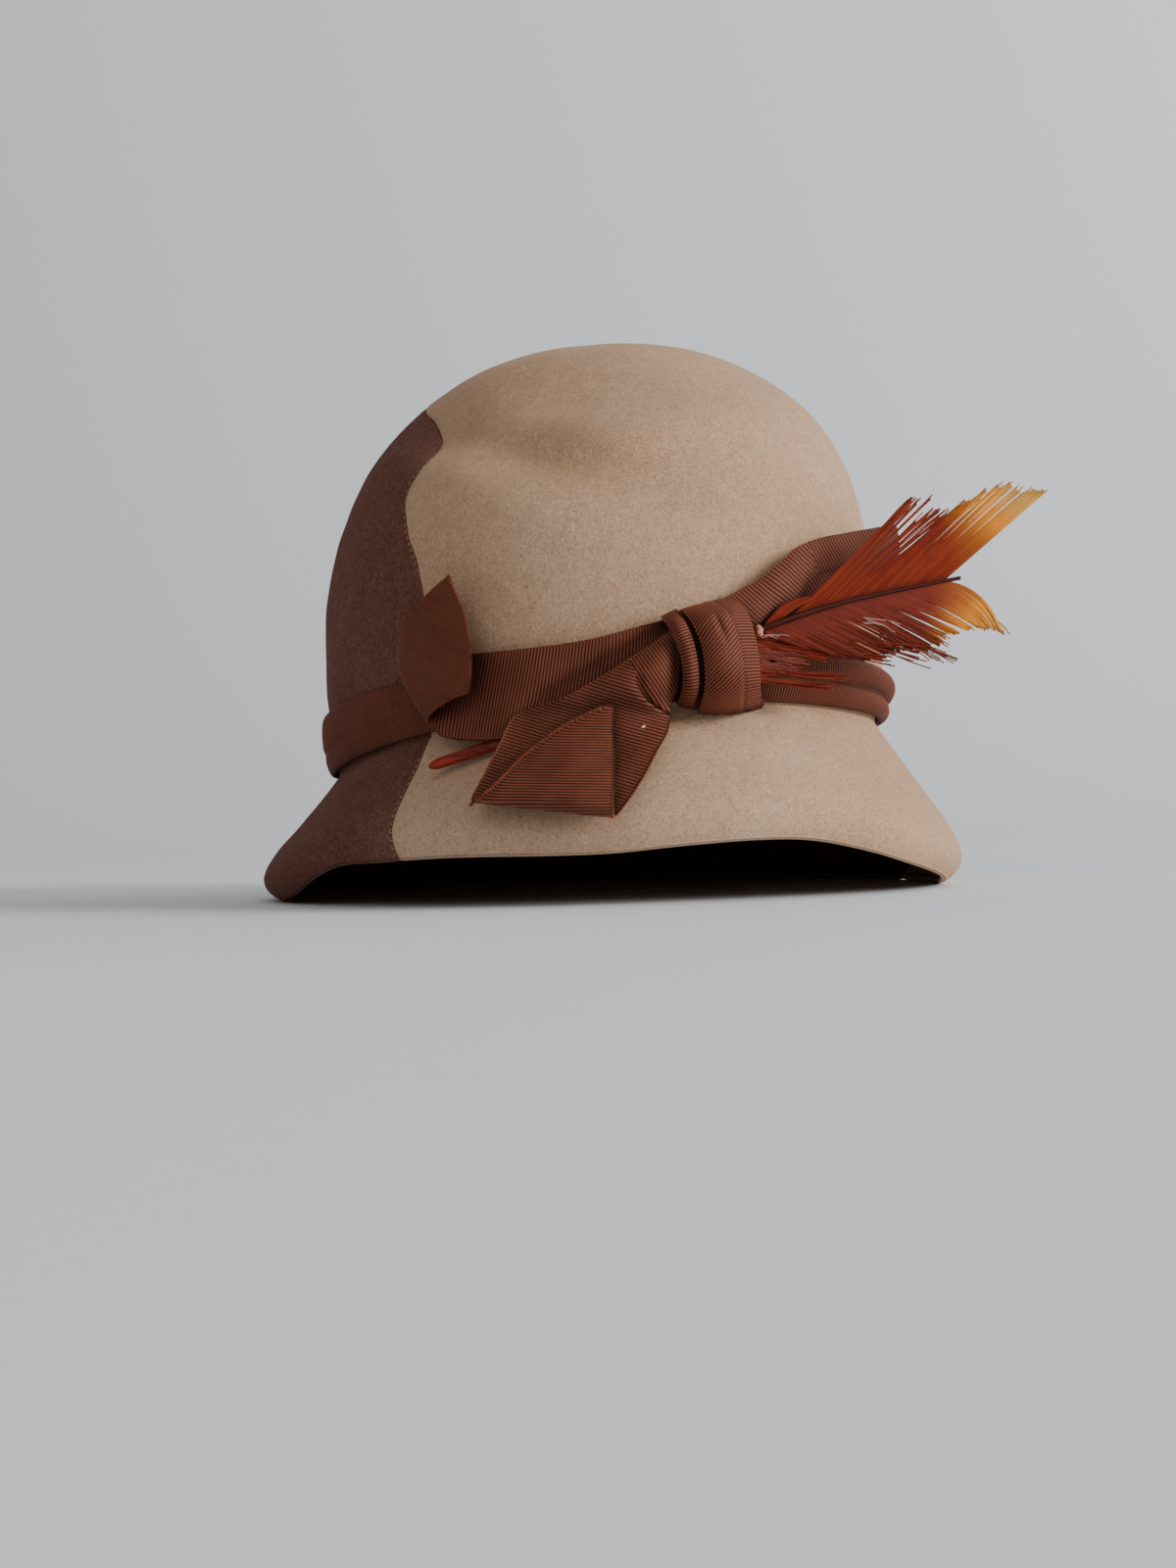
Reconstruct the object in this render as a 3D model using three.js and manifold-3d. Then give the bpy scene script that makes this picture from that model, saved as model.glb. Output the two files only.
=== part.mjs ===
// A two-tone felt cloche hat with a grosgrain bow and a feather, standing on its brim.
//
// Hat frame, in millimetres: +Z up, -Y the wearer's front, +X the wearer's left, and z = 0 the
// surface that the brim rests on. A bearing is an angle round the hat, 0 at the front and positive
// towards +X. The bow, its knot and the feather are laid out in a frame of their own, turned
// BOW_TURN round Z: x to the right as one looks at the bow, y into the hat, z up. There a point
// is given by x, z and its lift, the distance that it stands out in front of the felt.

import * as THREE from "three";
import { mergeVertices } from "three/addons/utils/BufferGeometryUtils.js";
import Module from "manifold-3d";

// ---- driving dimensions --------------------------------------------------------------------

const FELT = 2.2; // thickness of the felt
const RIBBON = 1.0; // thickness of the ribbon
const VANE = 1.0; // thickness of the feather's vanes
const GAP = 0.4; // between the two felts, along y
const BOW_TURN = THREE.MathUtils.degToRad(35); // the bow sits on the wearer's right temple

// Half sizes of the hat's three ovals: across (x) and front to back (y).
const CROWN = { x: 83.6, y: 96.5 };
const JOIN = { x: 81, y: 93 }; // where the crown meets the brim
const RIM = { x: 104.6, y: 121 }; // where the brim is widest

const SHOULDER_Z = 66; // the dome starts here
const TOP_Z = 174.5;
const DOME_POWER = 2.45; // 2 is an ellipse, more is squarer

// Round the hat, every 30 degrees: how high the crown and the brim join, and how tall and how
// full the hat band is.
const ROUND = [
  { bearing: -155, join: 37, band: 17, full: 2.0 },
  { bearing: -125, join: 39, band: 18, full: 2.2 },
  { bearing: -95, join: 45, band: 17.5, full: 2.0 },
  { bearing: -65, join: 52, band: 15, full: 0.4 },
  { bearing: -35, join: 56, band: 14, full: 0.2 },
  { bearing: -5, join: 56, band: 16, full: 0.8 },
  { bearing: 25, join: 52.5, band: 14.5, full: 2.8 },
  { bearing: 55, join: 49, band: 10.5, full: 3.2 },
  { bearing: 85, join: 46, band: 11, full: 2.8 },
  { bearing: 115, join: 43, band: 12, full: 2.2 },
  { bearing: 145, join: 40, band: 14, full: 2.0 },
  { bearing: 175, join: 38, band: 16, full: 2.0 },
];

// The brim's edge: how high it stands, and how far it curls in again under the widest part. It
// rests round the sides and the back, and the front is swept up.
const BRIM_EDGE = [
  { bearing: -180, rise: 0, curl: 5.8 },
  { bearing: -122, rise: 0, curl: 5.8 },
  { bearing: -114, rise: 1.2, curl: 5.2 },
  { bearing: -105, rise: 3.8, curl: 4.2 },
  { bearing: -95, rise: 8.6, curl: 2.8 },
  { bearing: -86, rise: 12.3, curl: 2.0 },
  { bearing: -76, rise: 13.3, curl: 1.8 },
  { bearing: -60, rise: 14.6, curl: 1.8 },
  { bearing: -36, rise: 14.8, curl: 1.8 },
  { bearing: -24, rise: 16.5, curl: 1.8 },
  { bearing: -14, rise: 17.4, curl: 1.8 },
  { bearing: -6, rise: 16.7, curl: 1.8 },
  { bearing: 4, rise: 12.9, curl: 2.0 },
  { bearing: 14, rise: 8.5, curl: 2.6 },
  { bearing: 26, rise: 4.5, curl: 3.8 },
  { bearing: 38, rise: 1.6, curl: 5.2 },
  { bearing: 48, rise: 0, curl: 5.8 },
  { bearing: 180, rise: 0, curl: 5.8 },
];
const CURL_HIGH = 7.5; // from the brim's edge up to its widest part
const CURL_POWER = 2.6; // how late the curl turns in

// The brim's flare, from the join (down 0) to its widest part (down 1): how far out it has come.
const FLARE = [
  { down: 0, out: 0 },
  { down: 0.24, out: 0.25 },
  { down: 0.54, out: 0.59 },
  { down: 0.74, out: 0.82 },
  { down: 0.9, out: 0.955 },
  { down: 1, out: 1 },
];

// How far the hand-blocked hat leans sideways, along the bow's x, at each height.
const LEAN = [
  { z: 0, x: -2.2 },
  { z: 40, x: -1.6 },
  { z: 95, x: -2.6 },
  { z: 140, x: 0 },
  { z: TOP_Z, x: 2 },
];

// Soft dents on the bow's side of the crown: place, half lengths, tilt in degrees, and depth.
const DENTS = [
  { x: -8, z: 157.5, long: 34, short: 10, tilt: 2, deep: 9 },
  { x: -24, z: 134, long: 24, short: 8.5, tilt: -24, deep: 4 },
  { x: 22, z: 124, long: 22, short: 13, tilt: 52, deep: 2.2 },
  { x: -52, z: 143.5, long: 9, short: 6, tilt: 60, deep: 2.2 },
];
const CROWN_HEART = new THREE.Vector3(0, 0, 90); // dents are pushed towards it

// The butt seam between the two felts, alike on both sides: y at each height.
const SEAM = [
  { z: -5, y: -36 },
  { z: 14, y: -34 },
  { z: 24, y: -32 },
  { z: 40, y: -25 },
  { z: 52, y: -21 },
  { z: 88, y: -23 },
  { z: 101, y: -18.5 },
  { z: 111, y: -11.5 },
  { z: 121, y: -6 },
  { z: 138, y: -1.5 },
  { z: 149, y: 15 },
  { z: 155, y: 32 },
  { z: 160, y: 44 },
  { z: 170, y: 58 },
  { z: 185, y: 72 },
];

// The ribbons, a row for each section or fold. Each row gives x, z and lift at one selvedge or
// cut edge, in the middle, and at the other.
const UPPER_TAIL = [
  { top: [19, 81, 7], mid: [19, 71, 8], low: [19, 61, 7] },
  { top: [8, 78.3, 6], mid: [8, 67, 8.5], low: [8, 55, 7] },
  { top: [-6, 75.2, 5.5], mid: [-8, 62, 9], low: [-9.5, 49.5, 7] },
  { top: [-23, 73.5, 5], mid: [-24.5, 61, 9.5], low: [-27, 48.5, 7.3] },
  { top: [-38, 73, 5], mid: [-38, 61, 7.5], low: [-38, 48, 7.8] },
  { top: [-49.5, 73.4, 5], mid: [-48.5, 62, 6.5], low: [-46, 48.8, 8.5] },
  { top: [-57.5, 73.4, 5.5], mid: [-56, 64, 7], low: [-50.8, 50.8, 9.5] },
  { top: [-61.8, 74.5, 8.5], mid: [-60, 65.5, 10.3], low: [-53.3, 54.2, 11.3] },
  { top: [-60.3, 79.8, 11.8], mid: [-57, 70, 13.5], low: [-51.2, 57, 13.3] },
  { top: [-57, 85.8, 12.3], mid: [-53, 73.5, 14.8], low: [-48.6, 58.6, 13.8] },
  { top: [-51.8, 91, 12.2], mid: [-47, 76, 15.3], low: [-45.2, 60.3, 13.8] },
  { top: [-45.9, 95.6, 11.2], mid: [-40.2, 78.5, 14.8], low: [-40.8, 61.6, 13.2] },
];

const LOWER_TAIL = [
  { top: [19, 78, 10.2], mid: [19.5, 69, 11.5], low: [19, 60.5, 10.2] },
  { top: [11.5, 72.7, 10.8], mid: [14, 64.5, 15.5], low: [16.5, 56.5, 10.8] },
  { top: [-0.5, 65.4, 11.8], mid: [6.5, 60, 16.5], low: [16.5, 54.3, 10.2] },
  { top: [-13.5, 59, 13.6], mid: [1.5, 55.5, 13.4], low: [16.3, 52, 9] },
  { top: [-27, 53.6, 13.4], mid: [-6, 51, 12.2], low: [15.5, 48.4, 8.6] },
  { top: [-32.3, 46.4, 10.8], mid: [-10, 45, 10.8], low: [12.5, 43.3, 8.4] },
  { top: [-36.5, 37.5, 9.4], mid: [-14.5, 36.5, 10], low: [7.5, 34.6, 8.4] },
  { top: [-39.7, 30.9, 10.6], mid: [-20, 27.8, 10.8], low: [-0.3, 25.2, 10.4] },
  { top: [-38.4, 30.6, 13.4], mid: [-19.4, 29.2, 14.2], low: [-0.6, 27.6, 13.4] },
  { top: [-33, 33.6, 13.8], mid: [-16.5, 34, 14.8], low: [-0.4, 34, 14] },
  { top: [-26, 38, 13.8], mid: [-13, 40, 14.8], low: [0, 41, 14] },
  { top: [-13.6, 46.4, 14.4], mid: [-7, 48, 15], low: [0, 49, 14.6] },
  { top: [-1.6, 55, 16.4], mid: [-0.7, 55.4, 16.4], low: [0.3, 55.8, 16.4] },
];

const RIGHT_TAIL = [
  { top: [34, 86.2, 5], mid: [35.5, 80, 5.6], low: [37, 73, 5] },
  { top: [43.5, 91.4, 5.6], mid: [45, 84, 7.2], low: [47, 76.5, 5.6] },
  { top: [49.5, 96, 6], mid: [51, 88, 7.6], low: [53.5, 80, 5.8] },
  { top: [55, 100.6, 6], mid: [57, 92, 7.6], low: [60, 83.5, 6] },
  { top: [61.5, 103.6, 6], mid: [63.5, 95, 7], low: [66.5, 86.6, 6] },
  { top: [71, 106, 6], mid: [73, 98, 6.6], low: [76, 91, 6] },
  { top: [80, 108, 6], mid: [82, 102, 6.4], low: [84, 96, 6] },
  { top: [88, 109.6, 6], mid: [88.6, 106, 6.2], low: [89.2, 102, 6] },
];

// The knot's two wraps start and end against the felt, behind the tails.
const KNOT_PLEAT = [
  { top: [14.6, 84, 3.4], mid: [17.2, 85.3, 3.6], low: [20.2, 86.2, 3.4] },
  { top: [15.4, 81.8, 10.4], mid: [17.8, 83, 11], low: [20.4, 83.8, 10.4] },
  { top: [17.2, 78, 14], mid: [19.6, 79.2, 16.6], low: [22.4, 79.8, 14.6] },
  { top: [19.4, 72.6, 14.6], mid: [22, 73.4, 17.4], low: [24.4, 74, 15.4] },
  { top: [20.8, 67, 14.8], mid: [23.2, 67.4, 17.8], low: [25.4, 68, 15.8] },
  { top: [20.7, 61, 14], mid: [23.2, 61, 17], low: [25.7, 61.4, 15] },
  { top: [19.3, 56.2, 10.4], mid: [21.8, 54.9, 11], low: [24.2, 54.6, 10.4] },
  { top: [18.6, 53, 3.6], mid: [21, 51.9, 3.8], low: [23.4, 51.6, 3.6] },
];

const KNOT_WRAP = [
  { top: [21.6, 86.4, 3.2], mid: [28.2, 88.4, 3.4], low: [34.6, 89.8, 3.2] },
  { top: [21.6, 84.2, 9.4], mid: [28.5, 86, 10], low: [35.8, 87.4, 9] },
  { top: [24.2, 79.2, 15.4], mid: [31.5, 81.8, 17.2], low: [39.4, 82.8, 13] },
  { top: [26.6, 71.6, 16.8], mid: [34, 73, 19], low: [42, 73, 14.2] },
  { top: [27.1, 64, 16.4], mid: [34.8, 64.4, 18.6], low: [42.6, 64, 14] },
  { top: [26.6, 58, 14.4], mid: [34.6, 57.6, 16], low: [43, 58.6, 12.6] },
  { top: [25.6, 53.4, 9.4], mid: [34, 52.8, 10.4], low: [43.4, 54.8, 9] },
  { top: [25.6, 50.6, 3.4], mid: [34, 50, 3.6], low: [42.8, 51.8, 3.4] },
];

const TRIM_LEAVES = 60; // right of this x the trim goes straight on, off the round of the crown
const TRIM_SLOPE = 0.95; // and falls back this much for each millimetre

// The feather: its shaft's route over the felt, then through the feather's own plane.
const FEATHER_X = 43; // where it comes out of the knot
const FEATHER_Y = -95.4;
const FEATHER_CANT = 0.3; // the plane falls back this much for each millimetre to the right
const SHAFT_ON_FELT = [
  { x: -53, z: 40.7, lift: 8 },
  { x: -42, z: 44, lift: 5.2 },
  { x: -29, z: 48, lift: 4.1 },
  { x: -14, z: 53.4, lift: 4.1 },
  { x: 3, z: 60, lift: 4.1 },
  { x: 20, z: 67, lift: 4.4 },
];
const SHAFT_FREE = [
  { x: 44, z: 77.2 },
  { x: 64.8, z: 83.7 },
  { x: 82.3, z: 87.5 },
  { x: 103, z: 91.2 },
];
const QUILL_R = 1.45; // the bare quill's radius
const RACHIS_R = 0.75; // the shaft's radius at its broken tip

// Outlines of the vanes in the feather's plane, as x, z, round from the knot.
const UPPER_VANE = [
  [45, 79.6], [51, 84.6], [60, 85.8], [56.5, 83.4], [65, 91], [74, 99.2], [83.4, 107.4], [85.8, 111.6],
  [91.8, 115.8], [98.6, 111], [103.2, 112], [114.8, 118], [131.2, 117], [123, 110], [112.8, 101.2],
  [102.6, 93.6], [82, 90.2], [64, 86.2],
];
const LOWER_VANE = [
  [45, 75.4], [64.8, 81.2], [82.3, 85], [99.4, 88], [107.6, 87], [112, 83.4], [114.6, 78.6],
  [116, 74.8], [107, 76], [99.4, 78.8], [104, 75.6], [99, 72.2], [89.6, 69.4], [74, 66.4],
  [64, 69], [61, 60], [45, 60.4],
];

// ---- colours ---------------------------------------------------------------------------------

const FINISH = {
  cream_felt: { color: 0xa58d75, roughness: 0.95, metalness: 0 },
  brown_felt: { color: 0x4a3029, roughness: 0.95, metalness: 0 },
  ribbon: { color: 0x552d1f, roughness: 0.7, metalness: 0 },
  vane: { color: 0x742e1d, roughness: 0.6, metalness: 0 },
  quill: { color: 0x6a3020, roughness: 0.25, metalness: 0 },
};

// ---- tables read as smooth curves ------------------------------------------------------------

// A column of a table that goes once round the hat.
function round(column, bearing) {
  const step = 360 / ROUND.length;
  const turns = (THREE.MathUtils.radToDeg(bearing) - ROUND[0].bearing) / step;
  const row = Math.floor(turns);
  const at = (k) => ROUND[THREE.MathUtils.euclideanModulo(row + k, ROUND.length)][column];
  return catmullRom([at(-1), at(0), at(1), at(2)], turns - row);
}

function catmullRom([a, b, c, d], t) {
  const bend = (2 * a - 5 * b + 4 * c - d) * t * t + (3 * b - a - 3 * c + d) * t * t * t;
  return 0.5 * (2 * b + (c - a) * t + bend);
}

// A column of a table whose rows are ordered by another, as a smooth curve.
function along(table, column, by, value) {
  const last = table.length - 1;
  let i = 0;
  while (i < last - 1 && table[i + 1][by] <= value) i += 1;
  const slope = (k) => {
    const [p, q] = [table[Math.max(k - 1, 0)], table[Math.min(k + 1, last)]];
    return (q[column] - p[column]) / (q[by] - p[by]);
  };
  const [a, b] = [table[i], table[i + 1]];
  const step = b[by] - a[by];
  const t = THREE.MathUtils.clamp((value - a[by]) / step, 0, 1);
  const [t2, t3] = [t * t, t * t * t];
  return (2 * t3 - 3 * t2 + 1) * a[column] + (t3 - 2 * t2 + t) * step * slope(i)
    + (3 * t2 - 2 * t3) * b[column] + (t3 - t2) * step * slope(i + 1);
}

// ---- the felt's outer face -------------------------------------------------------------------

const oval = (half, bearing) => 1 / Math.hypot(Math.sin(bearing) / half.x, Math.cos(bearing) / half.y);
const joinHeight = (bearing) => round("join", bearing);

function brimEdge(column, bearing) {
  const turned = THREE.MathUtils.euclideanModulo(THREE.MathUtils.radToDeg(bearing) + 180, 360) - 180;
  return Math.max(along(BRIM_EDGE, column, "bearing", turned), 0);
}

// The height at a station down the profile: 0 top, 1 shoulder, 2 join, WIDEST the brim's widest
// part, 3 its edge.
const WIDEST = 2.8;
function heightAt(bearing, station) {
  const { lerp, inverseLerp } = THREE.MathUtils;
  const [join, edge] = [joinHeight(bearing), brimEdge("rise", bearing)];
  if (station <= 1) {
    const rise = Math.sin(((1 - station) * Math.PI) / 2);
    return SHOULDER_Z + (TOP_Z - SHOULDER_Z) * rise ** (2 / DOME_POWER);
  }
  if (station <= 2) return lerp(SHOULDER_Z, join, station - 1);
  if (station <= WIDEST) return lerp(join, edge + CURL_HIGH, inverseLerp(2, WIDEST, station));
  return lerp(edge + CURL_HIGH, edge, inverseLerp(WIDEST, 3, station));
}

function feltRadius(bearing, z) {
  const [crown, join, rim] = [CROWN, JOIN, RIM].map((half) => oval(half, bearing));
  const joinZ = joinHeight(bearing);
  if (z >= SHOULDER_Z) {
    const rise = Math.min((z - SHOULDER_Z) / (TOP_Z - SHOULDER_Z), 1);
    return crown * (1 - rise ** DOME_POWER) ** (1 / DOME_POWER);
  }
  if (z >= joinZ) {
    return THREE.MathUtils.lerp(crown, join, THREE.MathUtils.smoothstep(-z, -SHOULDER_Z, -joinZ));
  }
  const widestZ = brimEdge("rise", bearing) + CURL_HIGH;
  const down = Math.min((joinZ - z) / (joinZ - widestZ), 1);
  const under = THREE.MathUtils.clamp((widestZ - z) / CURL_HIGH, 0, 1);
  const flared = join + (rim - join) * along(FLARE, "out", "down", down);
  return flared - brimEdge("curl", bearing) * under ** CURL_POWER;
}

// The felt before its dents.
function smoothFelt(bearing, z) {
  const r = feltRadius(bearing, z);
  const lean = along(LEAN, "x", "z", z);
  const x = r * Math.sin(bearing) + lean * Math.cos(BOW_TURN);
  const y = -r * Math.cos(bearing) - lean * Math.sin(BOW_TURN);
  return new THREE.Vector3(x, y, z);
}

const toBowFrame = (p) => p.clone().applyAxisAngle(new THREE.Vector3(0, 0, 1), BOW_TURN);

function dentDepth(p) {
  const q = toBowFrame(p);
  const onBowSide = 1 / (1 + Math.exp((q.y + 5) / 8));
  let deep = 0;
  for (const dent of DENTS) {
    const tilt = THREE.MathUtils.degToRad(dent.tilt);
    const [x, z] = [q.x - dent.x, q.z - dent.z];
    const u = (x * Math.cos(tilt) + z * Math.sin(tilt)) / dent.long;
    const v = (z * Math.cos(tilt) - x * Math.sin(tilt)) / dent.short;
    deep += dent.deep * Math.exp(-0.5 * (u * u + v * v));
  }
  return deep * onBowSide;
}

function feltPoint(bearing, station) {
  const p = smoothFelt(bearing, heightAt(bearing, station));
  const out = p.clone().sub(CROWN_HEART).normalize();
  return p.addScaledVector(out, -dentDepth(p));
}

// The felt's y in the bow's frame, on the bow's side, found by halving the bearing.
function frontY(x, z) {
  const wall = Math.min(x, TRIM_LEAVES);
  let [low, high] = [-Math.PI / 2, Math.PI / 2];
  for (let i = 0; i < 30; i += 1) {
    const mid = (low + high) / 2;
    if (toBowFrame(smoothFelt(mid - BOW_TURN, z)).x < wall) low = mid;
    else high = mid;
  }
  return toBowFrame(smoothFelt(low - BOW_TURN, z)).y + (x - wall) * TRIM_SLOPE;
}

const onBow = (x, z, lift) => new THREE.Vector3(x, frontY(x, z) - lift, z);
const inFeather = (x, z) => new THREE.Vector3(x, FEATHER_Y + (x - FEATHER_X) * FEATHER_CANT, z);

// ---- closed meshes ---------------------------------------------------------------------------

// Joins loops of points, one after another, into one closed body with its faces pointing out.
// A closed row of loops bends back to its first, and an open one is capped across each end.
function body(loops, closed) {
  const size = loops[0].length;
  const positions = loops.flat().flatMap((p) => [p.x, p.y, p.z]);
  const index = [];
  const quad = (a, b, c, d) => index.push(a, b, c, a, c, d);
  const rows = closed ? loops.length : loops.length - 1;
  for (let i = 0; i < rows; i += 1) {
    const [here, next] = [i * size, ((i + 1) % loops.length) * size];
    for (let k = 0; k < size; k += 1) {
      const after = (k + 1) % size;
      quad(here + k, here + after, next + after, next + k);
    }
  }
  const end = (loops.length - 1) * size;
  for (let k = 0; !closed && k < size / 2 - 1; k += 1) {
    const [far, farther] = [size - 1 - k, size - 2 - k];
    quad(k, far, farther, k + 1);
    quad(end + k, end + k + 1, end + farther, end + far);
  }
  const geometry = new THREE.BufferGeometry();
  geometry.setAttribute("position", new THREE.Float32BufferAttribute(positions, 3));
  geometry.setIndex(index);
  return facingOut(withoutSlivers(mergeVertices(geometry, 1e-4)));
}

function withoutSlivers(geometry) {
  const old = geometry.index.array;
  const kept = [];
  for (let i = 0; i < old.length; i += 3) {
    const [a, b, c] = old.slice(i, i + 3);
    if (a !== b && b !== c && c !== a) kept.push(a, b, c);
  }
  geometry.setIndex(kept);
  return geometry;
}

function facingOut(geometry) {
  const place = geometry.attributes.position;
  const corner = (i) => new THREE.Vector3().fromBufferAttribute(place, i);
  const index = Array.from(geometry.index.array);
  let volume = 0;
  for (let i = 0; i < index.length; i += 3) {
    const [a, b, c] = [corner(index[i]), corner(index[i + 1]), corner(index[i + 2])];
    volume += a.dot(b.cross(c)) / 6;
  }
  if (volume < 0) {
    for (let i = 0; i < index.length; i += 3) [index[i], index[i + 1]] = [index[i + 1], index[i]];
  }
  geometry.setIndex(index);
  geometry.computeVertexNormals();
  return geometry;
}

// ---- the two felts ---------------------------------------------------------------------------

const AROUND = 72;
const STATIONS = [0, 0.12, 0.24, 0.36, 0.48, 0.6, 0.72, 0.86, 1, 1.5, 2, 2.2, 2.4, 2.6, WIDEST, 2.9, 3];

// The hollow shell of the whole hat: each loop goes down the outside and back up the inside.
function feltShell() {
  const loops = [];
  const step = 0.002;
  for (let i = 0; i < AROUND; i += 1) {
    const bearing = (i / AROUND) * 2 * Math.PI;
    const outside = STATIONS.map((s) => feltPoint(bearing, s));
    const inside = STATIONS.map((s, k) => {
      if (s === 0) return outside[k].clone().setZ(outside[k].z - FELT);
      if (s === 3) return edgeInside(outside[k], bearing);
      const side = feltPoint(bearing + step, s).sub(feltPoint(bearing - step, s));
      const down = feltPoint(bearing, s + step).sub(feltPoint(bearing, s - step));
      return outside[k].clone().addScaledVector(down.cross(side).normalize(), -FELT);
    });
    loops.push([...outside, ...inside.reverse()]);
  }
  return body(loops, true);
}

// The brim is flat underneath, so there its thickness is cut level, on the slope of its curl.
function edgeInside(p, bearing) {
  const slope = (CURL_POWER * brimEdge("curl", bearing)) / CURL_HIGH;
  const level = new THREE.Vector3(p.x, p.y, 0);
  return level.setLength(level.length() - FELT * Math.hypot(1, slope)).setZ(p.z);
}

// Everything behind the seam, or in front of it, as a block that reaches past the hat.
function beyondSeam(way) {
  const reach = 200;
  const outline = new THREE.Shape();
  outline.moveTo(way * reach, SEAM[0].z);
  const steps = 40;
  for (let i = 0; i <= steps; i += 1) {
    const z = THREE.MathUtils.lerp(SEAM[0].z, SEAM[SEAM.length - 1].z, i / steps);
    outline.lineTo(along(SEAM, "y", "z", z) - (way * GAP) / 2, z);
  }
  outline.lineTo(way * reach, SEAM[SEAM.length - 1].z);
  const block = new THREE.ExtrudeGeometry(outline, { depth: 2 * reach, bevelEnabled: false });
  block.translate(0, 0, -reach);
  block.applyMatrix4(new THREE.Matrix4().set(0, 0, 1, 0, 1, 0, 0, 0, 0, 1, 0, 0, 0, 0, 0, 1));
  block.deleteAttribute("normal");
  block.deleteAttribute("uv");
  return facingOut(mergeVertices(block));
}

const wasm = await Module();
wasm.setup();

function toManifold(geometry) {
  return new wasm.Manifold(new wasm.Mesh({
    numProp: 3,
    vertProperties: new Float32Array(geometry.attributes.position.array),
    triVerts: new Uint32Array(geometry.index.array),
  }));
}

function fromManifold(solid) {
  const mesh = solid.getMesh();
  const geometry = new THREE.BufferGeometry();
  geometry.setAttribute("position", new THREE.BufferAttribute(new Float32Array(mesh.vertProperties), 3));
  geometry.setIndex(Array.from(mesh.triVerts));
  geometry.computeVertexNormals();
  return geometry;
}

// ---- hat band --------------------------------------------------------------------------------

const BAND_OFF = 0.7; // how far the band lies off the felt
const BAND_SKIN = 1; // its thickness between its folds
const BAND_STEPS = 6; // up its height

// A ribbon laid round the crown in two soft lengthwise folds.
function hatBand() {
  const loops = [];
  for (let i = 0; i < AROUND; i += 1) {
    const bearing = (i / AROUND) * 2 * Math.PI;
    const bottom = joinHeight(bearing) + 0.6;
    const height = round("band", bearing);
    const full = round("full", bearing);
    const face = (up, lift) => {
      const p = smoothFelt(bearing, bottom + height * up);
      const level = new THREE.Vector3(Math.sin(bearing), -Math.cos(bearing), 0);
      return p.addScaledVector(level, lift);
    };
    const outside = [];
    const inside = [];
    for (let k = 0; k <= BAND_STEPS; k += 1) {
      const up = k / BAND_STEPS;
      const fold = Math.abs(Math.sin(up * 2 * Math.PI)) ** 0.7;
      outside.push(face(up, BAND_OFF + BAND_SKIN + full * fold));
      if (k % 2 === 0) inside.push(face(up, BAND_OFF));
    }
    loops.push([...outside, ...inside.reverse()]);
  }
  return body(loops, true);
}

// ---- ribbons ---------------------------------------------------------------------------------

const STEPS_PER_ROW = 3;
const STEPS_ACROSS = 5;

// A ribbon through the rows of its table, RIBBON thick.
function ribbon(rows) {
  const edge = (name) => new THREE.CatmullRomCurve3(rows.map((row) => onBow(...row[name])));
  const [top, mid, low] = ["top", "mid", "low"].map(edge);
  const steps = (rows.length - 1) * STEPS_PER_ROW;
  const at = (t, across) => {
    const [a, m, b] = [top.getPoint(t), mid.getPoint(t), low.getPoint(t)];
    const bulge = m.clone().multiplyScalar(2).addScaledVector(a, -0.5).addScaledVector(b, -0.5);
    return new THREE.QuadraticBezierCurve3(a, bulge, b).getPoint(across);
  };
  const loops = [];
  const nudge = 0.004;
  for (let i = 0; i <= steps; i += 1) {
    const t = i / steps;
    const [front, back] = [[], []];
    for (let k = 0; k <= STEPS_ACROSS; k += 1) {
      const across = k / STEPS_ACROSS;
      const middle = at(t, across);
      const [t0, t1] = [Math.max(t - nudge, 0), Math.min(t + nudge, 1)];
      const [c0, c1] = [Math.max(across - nudge, 0), Math.min(across + nudge, 1)];
      const lengthways = at(t1, across).sub(at(t0, across));
      const crossways = at(t, c1).sub(at(t, c0));
      const out = lengthways.cross(crossways).normalize();
      front.push(middle.clone().addScaledVector(out, RIBBON / 2));
      back.push(middle.clone().addScaledVector(out, -RIBBON / 2));
    }
    loops.push([...front, ...back.reverse()]);
  }
  return body(loops, false);
}

// ---- feather ---------------------------------------------------------------------------------

const SHAFT_STEPS = 30;
const SHAFT_SIDES = 8;

// The bare quill, blunt at its tip, runs under the bow and thins to a broken end.
function featherShaft() {
  const route = new THREE.CatmullRomCurve3([
    ...SHAFT_ON_FELT.map((p) => onBow(p.x, p.z, p.lift)),
    ...SHAFT_FREE.map((p) => inFeather(p.x, p.z)),
  ]);
  const loops = [];
  for (let i = 0; i <= SHAFT_STEPS; i += 1) {
    const t = i / SHAFT_STEPS;
    const blunt = Math.min(1, Math.sqrt(i + 0.3) / 1.5);
    const r = blunt * THREE.MathUtils.lerp(QUILL_R, RACHIS_R, THREE.MathUtils.smoothstep(t, 0.3, 1));
    const forward = route.getTangentAt(t);
    const side = new THREE.Vector3(0, 0, 1).cross(forward).normalize();
    const up = forward.clone().cross(side);
    const middle = route.getPointAt(t);
    const loop = [];
    for (let k = 0; k < SHAFT_SIDES; k += 1) {
      const angle = ((k + 0.5) / SHAFT_SIDES) * 2 * Math.PI;
      const p = middle.clone().addScaledVector(side, r * Math.cos(angle));
      loop.push(p.addScaledVector(up, r * Math.sin(angle)));
    }
    loops.push(loop);
  }
  return body(loops, false);
}

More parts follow.
